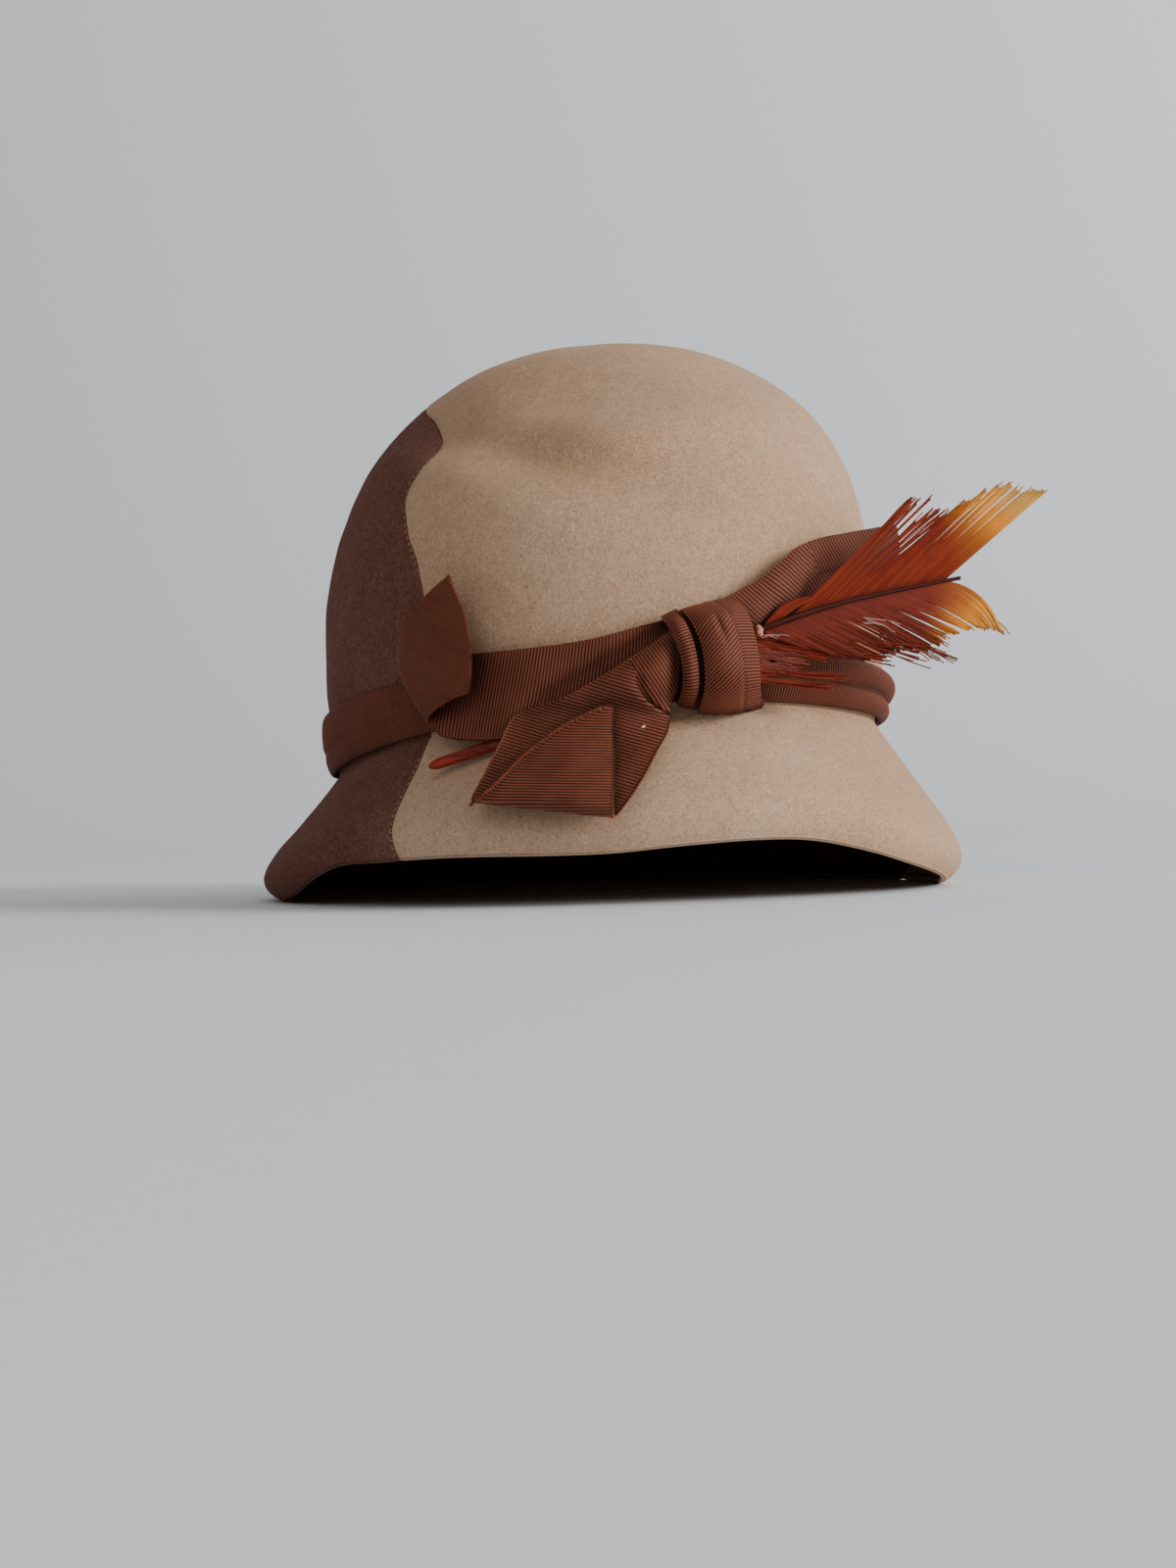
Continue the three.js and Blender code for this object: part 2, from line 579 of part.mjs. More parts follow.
// A vane cut to its outline and laid in the feather's plane.
function vane(outline) {
  const shape = new THREE.Shape(outline.map(([x, z]) => new THREE.Vector2(x, z)));
  const plate = new THREE.ExtrudeGeometry(shape, { depth: VANE, bevelEnabled: false });
  plate.deleteAttribute("normal");
  plate.deleteAttribute("uv");
  const place = plate.attributes.position;
  for (let i = 0; i < place.count; i += 1) {
    const p = inFeather(place.getX(i), place.getY(i));
    place.setXYZ(i, p.x, p.y - VANE / 2 + place.getZ(i), p.z);
  }
  return facingOut(mergeVertices(plate));
}

// ---- the hat ---------------------------------------------------------------------------------

function piece(name, geometry, finish) {
  const mesh = new THREE.Mesh(geometry, new THREE.MeshStandardMaterial(FINISH[finish]));
  mesh.name = name;
  return mesh;
}

const shell = toManifold(feltShell());
const hat = new THREE.Group();
hat.add(
  piece("felt_front", fromManifold(shell.subtract(toManifold(beyondSeam(1)))), "cream_felt"),
  piece("felt_back", fromManifold(shell.subtract(toManifold(beyondSeam(-1)))), "brown_felt"),
  piece("hat_band", hatBand(), "ribbon"),
);

const trim = new THREE.Group();
trim.rotation.z = -BOW_TURN;
trim.add(
  piece("bow_upper_tail", ribbon(UPPER_TAIL), "ribbon"),
  piece("bow_lower_tail", ribbon(LOWER_TAIL), "ribbon"),
  piece("bow_right_tail", ribbon(RIGHT_TAIL), "ribbon"),
  piece("knot_pleat", ribbon(KNOT_PLEAT), "ribbon"),
  piece("knot_wrap", ribbon(KNOT_WRAP), "ribbon"),
  piece("feather_shaft", featherShaft(), "quill"),
  piece("feather_vane_upper", vane(UPPER_VANE), "vane"),
  piece("feather_vane_lower", vane(LOWER_VANE), "vane"),
);
hat.add(trim);

// The origin is under the middle of the whole hat, on the surface that it rests on.
const bounds = new THREE.Box3().setFromObject(hat, true);
const middle = bounds.getCenter(new THREE.Vector3());
hat.position.set(-middle.x, -middle.y, -bounds.min.z);

export default hat;
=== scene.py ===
"""A two-tone felt cloche hat with a grosgrain bow and a feather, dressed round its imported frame.

Sizes are millimetres in the hat frame: +Z up, -Y the wearer's front, +X the wearer's left, z = 0
the surface that the brim rests on. A bearing is an angle round the hat, 0 at the front. The trim
is laid out in the bow's own frame, turned BOW_TURN: x to the right as one looks at the bow, y into
the hat, z up. A point there is x, z and its lift, which is how far it stands in front of the felt.
"""

import math

import bmesh
import bpy
import numpy as np
from mathutils import Matrix, Vector


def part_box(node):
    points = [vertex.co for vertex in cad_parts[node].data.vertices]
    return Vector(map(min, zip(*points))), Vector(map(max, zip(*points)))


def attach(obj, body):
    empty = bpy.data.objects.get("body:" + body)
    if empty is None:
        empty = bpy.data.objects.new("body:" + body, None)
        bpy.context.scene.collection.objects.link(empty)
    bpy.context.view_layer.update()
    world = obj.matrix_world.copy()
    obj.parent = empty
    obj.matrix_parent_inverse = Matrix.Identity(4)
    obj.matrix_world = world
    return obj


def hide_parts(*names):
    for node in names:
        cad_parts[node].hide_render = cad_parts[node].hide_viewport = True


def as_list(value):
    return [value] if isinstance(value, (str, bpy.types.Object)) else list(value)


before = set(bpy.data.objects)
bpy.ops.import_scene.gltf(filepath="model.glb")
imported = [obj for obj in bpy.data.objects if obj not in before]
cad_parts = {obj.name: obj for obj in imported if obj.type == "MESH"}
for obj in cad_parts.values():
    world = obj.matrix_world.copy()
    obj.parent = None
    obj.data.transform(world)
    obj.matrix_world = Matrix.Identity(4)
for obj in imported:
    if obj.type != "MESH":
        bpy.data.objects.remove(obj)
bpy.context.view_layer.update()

MM = 0.001
BOW_TURN = math.radians(35)

# ---- the felts -------------------------------------------------------------------------------

FELT = 2.2  # thickness
CROWN = (83.6, 96.5)  # half sizes across and front to back
JOIN = (81, 93)
RIM = (104.6, 121)  # where the brim is widest
SHOULDER_Z = 66
TOP_Z = 174.5
DOME_POWER = 2.45
WIDEST = 2.8  # the station down the profile where the brim is widest

# Round the hat: the height where crown and brim join, how tall the band is, and how full its rolls.
ROUND = [
    {"bearing": -155, "join": 37, "band": 17, "full": 2.0},
    {"bearing": -125, "join": 39, "band": 18, "full": 2.2},
    {"bearing": -95, "join": 45, "band": 17.5, "full": 2.0},
    {"bearing": -65, "join": 52, "band": 15, "full": 0.4},
    {"bearing": -35, "join": 56, "band": 14, "full": 0.2},
    {"bearing": -5, "join": 56, "band": 16, "full": 0.8},
    {"bearing": 25, "join": 52.5, "band": 14.5, "full": 2.8},
    {"bearing": 55, "join": 49, "band": 10.5, "full": 3.2},
    {"bearing": 85, "join": 46, "band": 11, "full": 2.8},
    {"bearing": 115, "join": 43, "band": 12, "full": 2.2},
    {"bearing": 145, "join": 40, "band": 14, "full": 2.0},
    {"bearing": 175, "join": 38, "band": 16, "full": 2.0},
]
# The brim's edge: how high it stands, and how far it curls in again under the widest part.
BRIM_EDGE = [
    {"bearing": -180, "rise": 0, "curl": 5.8},
    {"bearing": -122, "rise": 0, "curl": 5.8},
    {"bearing": -114, "rise": 1.2, "curl": 5.2},
    {"bearing": -105, "rise": 3.8, "curl": 4.2},
    {"bearing": -95, "rise": 8.6, "curl": 2.8},
    {"bearing": -86, "rise": 12.3, "curl": 2.0},
    {"bearing": -76, "rise": 13.3, "curl": 1.8},
    {"bearing": -60, "rise": 14.6, "curl": 1.8},
    {"bearing": -36, "rise": 14.8, "curl": 1.8},
    {"bearing": -24, "rise": 16.5, "curl": 1.8},
    {"bearing": -14, "rise": 17.4, "curl": 1.8},
    {"bearing": -6, "rise": 16.7, "curl": 1.8},
    {"bearing": 4, "rise": 12.9, "curl": 2.0},
    {"bearing": 14, "rise": 8.5, "curl": 2.6},
    {"bearing": 26, "rise": 4.5, "curl": 3.8},
    {"bearing": 38, "rise": 1.6, "curl": 5.2},
    {"bearing": 48, "rise": 0, "curl": 5.8},
    {"bearing": 180, "rise": 0, "curl": 5.8},
]
CURL_HIGH = 7.5  # from the brim's edge up to its widest part
CURL_POWER = 2.6
# The brim's flare, from the join (down 0) to its widest part (down 1): how far out it has come.
FLARE = [
    {"down": 0, "out": 0},
    {"down": 0.24, "out": 0.25},
    {"down": 0.54, "out": 0.59},
    {"down": 0.74, "out": 0.82},
    {"down": 0.9, "out": 0.955},
    {"down": 1, "out": 1},
]
# How far the hat leans to the right of the bow, at each height.
LEAN = [
    {"z": 0, "x": -2.2},
    {"z": 40, "x": -1.6},
    {"z": 95, "x": -2.6},
    {"z": 140, "x": 0},
    {"z": TOP_Z, "x": 2},
]
# The dents in the crown, in the bow's frame; each is an oval bowl turned by its tilt.
DENTS = [
    {"x": -8, "z": 157.5, "long": 34, "short": 10, "tilt": 2, "deep": 9.6},
    {"x": -22, "z": 134, "long": 28, "short": 8.5, "tilt": -22, "deep": 6.5},
    {"x": 22, "z": 124, "long": 22, "short": 13, "tilt": 52, "deep": 2.2},
    {"x": -52, "z": 143.5, "long": 9, "short": 6, "tilt": 60, "deep": 2.2},
]
DENTS_END = -5  # the dents fade out round this y of the bow's frame
DENTS_FADE = 8
CROWN_HEART = (0, 0, 90)
# The seam where cream meets brown: its y at each height.
SEAM = [
    {"z": -5, "y": -36},
    {"z": 14, "y": -34},
    {"z": 24, "y": -32},
    {"z": 40, "y": -25},
    {"z": 52, "y": -21},
    {"z": 88, "y": -23},
    {"z": 101, "y": -18.5},
    {"z": 111, "y": -11.5},
    {"z": 121, "y": -6},
    {"z": 138, "y": -1.5},
    {"z": 149, "y": 15},
    {"z": 155, "y": 32},
    {"z": 160, "y": 44},
    {"z": 170, "y": 58},
    {"z": 185, "y": 72},
]

# ---- the ribbons -----------------------------------------------------------------------------

# A row for each section or fold: a point on one selvedge, the middle and the other selvedge, as x, z
# and lift. "run" is how far along the ribbon the two selvedges are there, which sets how its ribs run.

UPPER_TAIL = [
    {"top": (19, 81, 7), "mid": (19, 71, 8), "low": (19, 61, 7), "run": (0, 0)},
    {"top": (8, 78.3, 6), "mid": (8, 67, 8.5), "low": (8, 55, 7), "run": (13, 13)},
    {"top": (-6, 75.2, 5.5), "mid": (-8, 62, 9), "low": (-9.5, 49.5, 7), "run": (27, 27)},
    {"top": (-23, 73.5, 5), "mid": (-24.5, 61, 9.5), "low": (-27, 48.5, 7.3), "run": (44, 42)},
    {"top": (-38, 73, 5), "mid": (-38, 61, 5.6), "low": (-38, 48, 8.8), "run": (59, 54)},
    {"top": (-49.5, 73.4, 4.6), "mid": (-48.5, 62, 3.8), "low": (-46, 48.8, 10.4), "run": (71, 62)},
    {"top": (-57.5, 73.4, 5), "mid": (-56, 64, 5), "low": (-50.8, 50.8, 11.4), "run": (80, 67)},
    {"top": (-61.8, 74.5, 8.5), "mid": (-60, 65.5, 10.3), "low": (-53.3, 54.2, 11.3), "run": (86, 72)},
    {"top": (-60.3, 79.8, 11.8), "mid": (-57, 70, 13.5), "low": (-51.2, 57, 13.3), "run": (92, 75)},
    {"top": (-57, 85.8, 12.3), "mid": (-53, 73.5, 14.8), "low": (-48.6, 58.6, 13.8), "run": (97, 79)},
    {"top": (-51.8, 91, 12.2), "mid": (-47, 76, 15.3), "low": (-45.2, 60.3, 13.8), "run": (102, 84)},
    {"top": (-45.9, 95.6, 11.2), "mid": (-40.2, 78.5, 14.8), "low": (-40.8, 61.6, 13.2), "run": (108, 89)},
]
LOWER_TAIL = [
    {"top": (19, 78, 10.2), "mid": (19.5, 69, 11.5), "low": (19, 60.5, 10.2)},
    {"top": (11.5, 72.7, 10.8), "mid": (14, 64.5, 15.5), "low": (16.5, 56.5, 10.8)},
    {"top": (-0.5, 65.4, 11.8), "mid": (6.5, 60, 16.5), "low": (16.5, 54.3, 10.2)},
    {"top": (-13.5, 59, 13.6), "mid": (1.5, 55.5, 13.4), "low": (16.3, 52, 9)},
    {"top": (-27, 54.6, 12.6), "mid": (-6, 51, 10.4), "low": (15.5, 48.4, 8.6)},
    {"top": (-31.8, 46.4, 11.8), "mid": (-10, 45, 7.6), "low": (12.5, 43.3, 8.4)},
    {"top": (-36.4, 37.5, 11.2), "mid": (-14.5, 36.5, 6.8), "low": (7.5, 34.6, 8.2)},
    {"top": (-39.7, 30.9, 11.4), "mid": (-20, 27.8, 9.8), "low": (-0.3, 25.2, 10.2)},
    {"top": (-38.4, 30.6, 13.4), "mid": (-19.4, 29.2, 14.2), "low": (-0.6, 27.6, 13.4)},
    {"top": (-33, 34.9, 14.6), "mid": (-16.5, 34.4, 15.4), "low": (-0.4, 34, 14)},
    {"top": (-25, 42.6, 15), "mid": (-12.5, 41.6, 15.8), "low": (0, 41, 14)},
    {"top": (-13.4, 50.8, 15.6), "mid": (-6.6, 50, 16), "low": (0, 49, 14.6)},
    {"top": (-1, 56.4, 16.6), "mid": (-0.3, 56.2, 16.6), "low": (0.4, 56, 16.4)},
]
RIGHT_TAIL = [
    {"top": (34, 86.2, 5), "mid": (35.5, 80, 5.6), "low": (37, 73, 5), "run": (0, 0)},
    {"top": (43.5, 91.4, 5.6), "mid": (45, 84, 7.2), "low": (47, 76.5, 5.6), "run": (11, 10)},
    {"top": (49.5, 96, 6), "mid": (51, 88, 7.6), "low": (53.5, 80, 5.8), "run": (18, 17)},
    {"top": (55, 100.6, 6), "mid": (57, 92, 7.6), "low": (60, 83.5, 6), "run": (25, 25)},
    {"top": (61.5, 103.6, 6), "mid": (63.5, 95, 7), "low": (66.5, 86.6, 6), "run": (32, 32)},
    {"top": (71, 106, 6), "mid": (73, 98, 6.6), "low": (76, 91, 6), "run": (42, 42)},
    {"top": (80, 108, 6), "mid": (82, 102, 6.4), "low": (84, 96, 6), "run": (51, 51)},
    {"top": (88, 109.6, 6), "mid": (88.6, 106, 6.2), "low": (89.2, 102, 6), "run": (59, 58)},
]
KNOT_PLEAT = [
    {"top": (15.4, 81.2, 3.4), "mid": (17.6, 82.4, 3.6), "low": (19.8, 83.4, 3.4), "run": (-7, -7.5)},
    {"top": (15.8, 79.8, 10.4), "mid": (17.9, 80.8, 11), "low": (20, 81.6, 10.4), "run": (0, 0)},
    {"top": (17.4, 77, 14), "mid": (19.5, 78.1, 16.2), "low": (21.8, 78.8, 14.6), "run": (6, 6)},
    {"top": (19.3, 72.6, 14.6), "mid": (21.4, 73.4, 17), "low": (23.6, 74, 15.4), "run": (12, 12)},
    {"top": (20.5, 67, 14.8), "mid": (22.6, 67.4, 17.4), "low": (24.7, 68, 15.8), "run": (18, 18)},
    {"top": (20.6, 61.6, 14), "mid": (22.8, 61.6, 16.6), "low": (25, 62, 15), "run": (24, 24)},
    {"top": (19.6, 58, 10.4), "mid": (21.8, 57, 11), "low": (24, 56.8, 10.4), "run": (30, 31)},
    {"top": (19, 57, 3.6), "mid": (21, 56, 3.8), "low": (23.2, 55.8, 3.6), "run": (37.5, 38.5)},
]
KNOT_WRAP = [
    {"top": (21.6, 83.4, 3.2), "mid": (28.2, 85, 3.4), "low": (34.8, 86.6, 3.2), "run": (-6.5, -6.5)},
    {"top": (21.6, 82.2, 9.4), "mid": (28.5, 83.8, 10), "low": (35.8, 85.6, 9), "run": (0, 0)},
    {"top": (24, 78.4, 15.4), "mid": (31.3, 80.6, 17.2), "low": (39.2, 81.8, 13), "run": (8, 7)},
    {"top": (26.4, 71.6, 16.8), "mid": (33.8, 73, 19), "low": (41.6, 73, 14.2), "run": (16, 17)},
    {"top": (27, 64.4, 16.4), "mid": (34.6, 64.8, 18.6), "low": (42.4, 64.4, 14), "run": (24, 26)},
    {"top": (26.6, 59, 14.4), "mid": (34.4, 58.8, 16), "low": (42.8, 59.6, 12.6), "run": (30, 32)},
    {"top": (25.4, 55, 9.4), "mid": (33.8, 54.6, 10.4), "low": (43, 56.4, 9), "run": (37, 37)},
    {"top": (25.4, 53.8, 3.4), "mid": (33.8, 53.4, 3.6), "low": (42.6, 54.8, 3.4), "run": (43.5, 43.5)},
]
TRIM_LEAVES = 60  # right of this x the trim goes straight on, off the round of the crown
TRIM_SLOPE = 0.95  # and falls back this much for each millimetre

RIBBON_WIDE = 44
RIB = 0.94  # from one rib of the grosgrain to the next
RIB_HIGH = 0.17
RIB_ROUND = 0.75  # under 1 makes a rib's back fuller than its valley
RIBBON = 0.5  # thickness between the ribs
EDGE_ROUND = 0.45  # how far the cloth's edge rounds out, for each millimetre of thickness
SCALLOP = 0.38  # how far each rib's end loops past the selvedge
SCALLOP_FROM = 0.4  # the loops go in below this much of a rib's height and out above it
FRAY_WIDE = 0.55  # how far in from a cut edge the weave has loosened

# ---- the feather -----------------------------------------------------------------------------

FEATHER_X = 43  # where the feather leaves the knot
FEATHER_Y = -95.4
FEATHER_CANT = 0.3  # how far its plane goes back for each millimetre to the right
SHAFT_ON_FELT = [
    {"x": -53, "z": 40.7, "lift": 8},
    {"x": -42, "z": 44, "lift": 5.2},
    {"x": -29, "z": 48, "lift": 4.1},
    {"x": -14, "z": 53.4, "lift": 4.1},
    {"x": 3, "z": 60, "lift": 4.1},
    {"x": 20, "z": 67, "lift": 4.4},
]
SHAFT_FREE = [
    {"x": 44, "z": 77.2},
    {"x": 64.8, "z": 83.7},
    {"x": 82.3, "z": 87.5},
    {"x": 103, "z": 91.2},
]
QUILL_R = 1.65  # at its bare end
RACHIS_R = 0.62  # and at its broken end

# The barbs, from the knot outwards: where one leaves the shaft, a point that it bends past, and
# its tip. "loose" is how far its neighbours' tips stray from a smooth edge.
UPPER_BARBS = [
    {"root": 52.5, "past": (68, 95.5), "tip": (83.5, 109), "loose": 0.7},
    {"root": 59, "past": (76, 100), "tip": (91, 115), "loose": 2.4},
    {"root": 66, "past": (83, 99), "tip": (97.6, 110.4), "loose": 2.8},
    {"root": 74, "past": (91, 101.5), "tip": (106, 113.6), "loose": 1.7},
    {"root": 82, "past": (99, 105), "tip": (115, 118), "loose": 1.5},
    {"root": 90, "past": (107.5, 104.5), "tip": (124, 117.4), "loose": 1.2},
    {"root": 98, "past": (114.5, 103.8), "tip": (131, 117), "loose": 0.5},
]
UPPER_LEAF = [
    {"root": 44.2, "past": (46, 80.8), "tip": (50.5, 84.4), "loose": 0.3},
    {"root": 45.5, "past": (50, 83.2), "tip": (56, 86), "loose": 0.4},
    {"root": 48, "past": (54, 84), "tip": (60.5, 86), "loose": 0.3},
]
LOWER_BARBS = [
    {"root": 43.4, "past": (47, 74), "tip": (56, 71.6), "loose": 0.7},
    {"root": 50, "past": (60, 73.4), "tip": (72.5, 67.6), "loose": 0.9},
    {"root": 57, "past": (68, 76), "tip": (81, 69.6), "loose": 1.2},
    {"root": 64, "past": (76, 78), "tip": (89, 70.4), "loose": 2.0},
    {"root": 71, "past": (84, 79.6), "tip": (97, 72.2), "loose": 2.4},
    {"root": 78, "past": (92, 80.5), "tip": (103.2, 75.4), "loose": 1.5},
    {"root": 85.5, "past": (100.5, 82.5), "tip": (108.4, 76.4), "loose": 1.0},
    {"root": 91, "past": (107, 85.5), "tip": (112.6, 76), "loose": 0.8},
    {"root": 98, "past": (110.5, 89), "tip": (115, 75.4), "loose": 0.6},
]
# The gaps between locks of barbs, and how wide each opens at the tips.
UPPER_PARTINGS = [
    {"root": 57.5, "wide": 0.3},
    {"root": 60, "wide": 0.5},
    {"root": 62, "wide": 0.6},
    {"root": 64, "wide": 0.8},
    {"root": 66, "wide": 0.6},
    {"root": 68, "wide": 0.9},
    {"root": 71, "wide": 0.7},
]
LOWER_PARTINGS = [
    {"root": 73.5, "wide": 0.6},
    {"root": 78.6, "wide": 1.2},
    {"root": 84.4, "wide": 0.9},
]
# Loose barbs, in bundles: each starts near one point, bends past another and ends near a third.
WISPS = [
    {"from": (42.4, 76), "past": (52, 73.6), "tip": (66, 71.6), "count": 90, "stray": 0.8, "bundle": 1.6,
     "girth": 1.0, "gold": 0, "dark": 0.3, "pale": 0, "lift": -0.4},
    {"from": (42.4, 74), "past": (50, 71.6), "tip": (62, 69.4), "count": 90, "stray": 0.9, "bundle": 2.2,
     "girth": 0.9, "gold": 0, "dark": 0.3, "pale": 0, "lift": -0.7},
    {"from": (42.4, 70.6), "past": (48, 69.4), "tip": (56, 68), "count": 90, "stray": 1.1, "bundle": 2.6,
     "girth": 0.7, "gold": 0, "dark": 0.3, "pale": 0.03, "lift": -0.9},
    {"from": (42.4, 67), "past": (46, 66.2), "tip": (52, 65.4), "count": 80, "stray": 1.0, "bundle": 2.4,
     "girth": 0.7, "gold": 0, "dark": 0.3, "pale": 0.03, "lift": -0.9},
    {"from": (42.4, 65.2), "past": (52, 64), "tip": (67, 63.2), "count": 44, "stray": 0.6, "bundle": 1.4,
     "girth": 0.7, "gold": 0, "dark": 0.4, "pale": 0, "lift": -0.6},
    {"from": (42.4, 63), "past": (50, 61.6), "tip": (62, 60.4), "count": 44, "stray": 0.6, "bundle": 1.2,
     "girth": 0.8, "gold": 0, "dark": 0.6, "pale": 0, "lift": -0.5},
    {"from": (56, 74), "past": (68, 69.5), "tip": (80, 68.2), "count": 30, "stray": 0.8, "bundle": 2.4,
     "girth": 0.7, "gold": 0, "dark": 0.4, "pale": 0, "lift": 0.2},
    {"from": (66, 76), "past": (80, 71), "tip": (92, 67.8), "count": 26, "stray": 1.2, "bundle": 2.4,
     "girth": 0.6, "gold": 0, "dark": 0.7, "pale": 0, "lift": 0.3},
    {"from": (78, 77), "past": (90, 72.5), "tip": (99.5, 67.6), "count": 26, "stray": 1.5, "bundle": 2.0,
     "girth": 0.45, "gold": 0.1, "dark": 0.9, "pale": 0, "lift": 0.2},
    {"from": (100, 84), "past": (110, 83), "tip": (115, 75), "count": 22, "stray": 0.8, "bundle": 1.6,
     "girth": 0.5, "gold": 0.7, "dark": 0.5, "pale": 0, "lift": 0.2},
    {"from": (74, 78.4), "past": (79, 79.6), "tip": (85, 77), "count": 5, "stray": 2.0, "bundle": 2.4,
     "girth": 0.15, "gold": 0, "dark": 0, "pale": 0.22, "lift": 1.0},
    {"from": (44.5, 75.6), "past": (48, 75.2), "tip": (51.4, 73.6), "count": 3, "stray": 0.8, "bundle": 1.2,
     "girth": 0.15, "gold": 0, "dark": 0, "pale": 0.22, "lift": 1.0},
]
BARB_STEPS = 12  # points along each
BARB_APART = 0.21  # across their tips
BARB_WIDE = 0.36
BARB_THICK = 0.09
SHINGLE = math.radians(16)  # each barb is turned a little, so that it laps the next

# ---- colours, as they look in print, 0 to 255 ------------------------------------------------

COLOURS = {
    "cream": (190, 156, 128),
    "cream pale": (214, 184, 158),
    "cream dark": (146, 108, 78),
    "cream tan": (184, 144, 110),
    "brown": (104, 66, 53),
    "brown pale": (140, 106, 94),
    "brown dark": (60, 36, 28),
    "ribbon": (93, 39, 24),
    # ribbon pale also gives the ribs' backs a painted highlight, and ribbon valley is the painted shade in
    # rib valleys and folds as well as the darker yarns
    "ribbon pale": (146, 82, 57),
    "ribbon valley": (26, 9, 6),
    "fray": (112, 54, 30),
    "barb rust": (112, 32, 20),
    "barb ember": (146, 58, 32),
    "barb amber": (222, 140, 44),
    "barb straw": (214, 164, 86),
    "barb shade": (62, 18, 12),
    "quill amber": (158, 42, 18),
    "quill dark": (60, 14, 8),
    "thread": (196, 146, 62),
    "glue": (214, 150, 128),
    "lint": (245, 240, 232),
    "floor": (232, 234, 237),
}


def linear(name):
    """A named colour as a shader takes it."""
    parts = [value / 255 for value in COLOURS[name]]
    return [part / 12.92 if part <= 0.04045 else ((part + 0.055) / 1.055) ** 2.4 for part in parts] + [1]


# ---- tables read as smooth curves ------------------------------------------------------------

def column(table, name):
    """One column of a table."""
    return np.array([row[name] for row in table], float)


def around(name, bearing):
    """A column of ROUND at any bearing, as a closed smooth curve."""
    values = column(ROUND, name)
    turns = np.mod(np.degrees(bearing) - ROUND[0]["bearing"], 360) * len(values) / 360
    row = np.floor(turns).astype(int)
    t = turns - row
    a, b, c, d = (values[(row + k) % len(values)] for k in (-1, 0, 1, 2))
    return 0.5 * (2 * b + (c - a) * t + (2 * a - 5 * b + 4 * c - d) * t**2
                  + (3 * b - a - 3 * c + d) * t**3)


def along(table, name, by, value):
    """A column of a table whose rows are ordered by another, as a smooth curve."""
    xs, ys = column(table, by), column(table, name)
    slopes = np.gradient(ys)
    slopes[1:-1] = (ys[2:] - ys[:-2]) / (xs[2:] - xs[:-2])
    slopes[0] = np.diff(ys[:2])[0] / np.diff(xs[:2])[0]
    slopes[-1] = np.diff(ys[-2:])[0] / np.diff(xs[-2:])[0]
    i = np.clip(np.searchsorted(xs, value, side="right") - 1, 0, len(xs) - 2)
    step = xs[i + 1] - xs[i]
    t = np.clip((value - xs[i]) / step, 0, 1)
    return ((2 * t**3 - 3 * t**2 + 1) * ys[i] + (t**3 - 2 * t**2 + t) * step * slopes[i]
            + (3 * t**2 - 2 * t**3) * ys[i + 1] + (t**3 - t**2) * step * slopes[i + 1])


def through(points, t):
    """A smooth curve through the points (centripetal Catmull-Rom), with t from 0 to 1."""
    points = np.asarray(points, float)
    ends = [2 * points[0] - points[1], 2 * points[-1] - points[-2]]
    p = np.vstack([ends[0], points, ends[1]])
    place = np.asarray(t, float) * (len(points) - 1)
    i = np.clip(np.floor(place).astype(int), 0, len(points) - 2)
    w = (place - i)[..., None]
    p0, p1, p2, p3 = (p[i + k] for k in range(4))
    d0, d1, d2 = (np.sqrt(np.linalg.norm(b - a, axis=-1, keepdims=True)).clip(1e-4)
                  for a, b in ((p0, p1), (p1, p2), (p2, p3)))
    m1 = ((p1 - p0) / d0 - (p2 - p0) / (d0 + d1) + (p2 - p1) / d1) * d1
    m2 = ((p2 - p1) / d1 - (p3 - p1) / (d1 + d2) + (p3 - p2) / d2) * d1
    return ((2 * w**3 - 3 * w**2 + 1) * p1 + (w**3 - 2 * w**2 + w) * m1
            + (3 * w**2 - 2 * w**3) * p2 + (w**3 - w**2) * m2)


def smoothstep(value, low, high):
    """Rises smoothly from 0 at low to 1 at high; with high under low it falls."""
    t = np.clip((value - low) / (high - low), 0, 1)
    return t * t * (3 - 2 * t)


def unit(vectors):
    """Vectors drawn to a length of 1."""
    return vectors / np.linalg.norm(vectors, axis=-1, keepdims=True).clip(1e-9)


def bent(start, past, tip, s):
    """A curve from start to tip that bends past a third point, with s from 0 to 1."""
    return (1 - s) ** 2 * start + 2 * s * (1 - s) * past + s**2 * tip


def far_along(line):
    """How far along a line each of its points is."""
    return np.concatenate([[0], np.cumsum(np.linalg.norm(np.diff(line, axis=0), axis=1))])


def picked(at, far, line):
    """The values of a line at some distances along it, where far is how far along its own points are."""
    return np.stack([np.interp(at, far, line[:, k]) for k in range(3)], -1)


# ---- the felt's outer face -------------------------------------------------------------------

def oval(half, bearing):
    """The radius of an oval with two half sizes, across and front to back."""
    return 1 / np.hypot(np.sin(bearing) / half[0], np.cos(bearing) / half[1])


def brim_edge(name, bearing):
    """A column of BRIM_EDGE at any bearing."""
    turned = np.mod(np.degrees(bearing) + 180, 360) - 180
    return np.maximum(along(BRIM_EDGE, name, "bearing", turned), 0)


def height_at(bearing, station):
    """The height at a station down the profile: 0 top, 1 shoulder, 2 join, WIDEST, 3 edge."""
    edge, join = brim_edge("rise", bearing), around("join", bearing)
    rise = np.sin((1 - np.clip(station, 0, 1)) * np.pi / 2)
    dome = SHOULDER_Z + (TOP_Z - SHOULDER_Z) * rise ** (2 / DOME_POWER)
    wall = SHOULDER_Z + (join - SHOULDER_Z) * (station - 1)
    widest = edge + CURL_HIGH
    brim = join + (widest - join) * np.clip((station - 2) / (WIDEST - 2), 0, 1)
    brim -= CURL_HIGH * np.clip((station - WIDEST) / (3 - WIDEST), 0, 1)
    return np.where(station <= 1, dome, np.where(station <= 2, wall, brim))


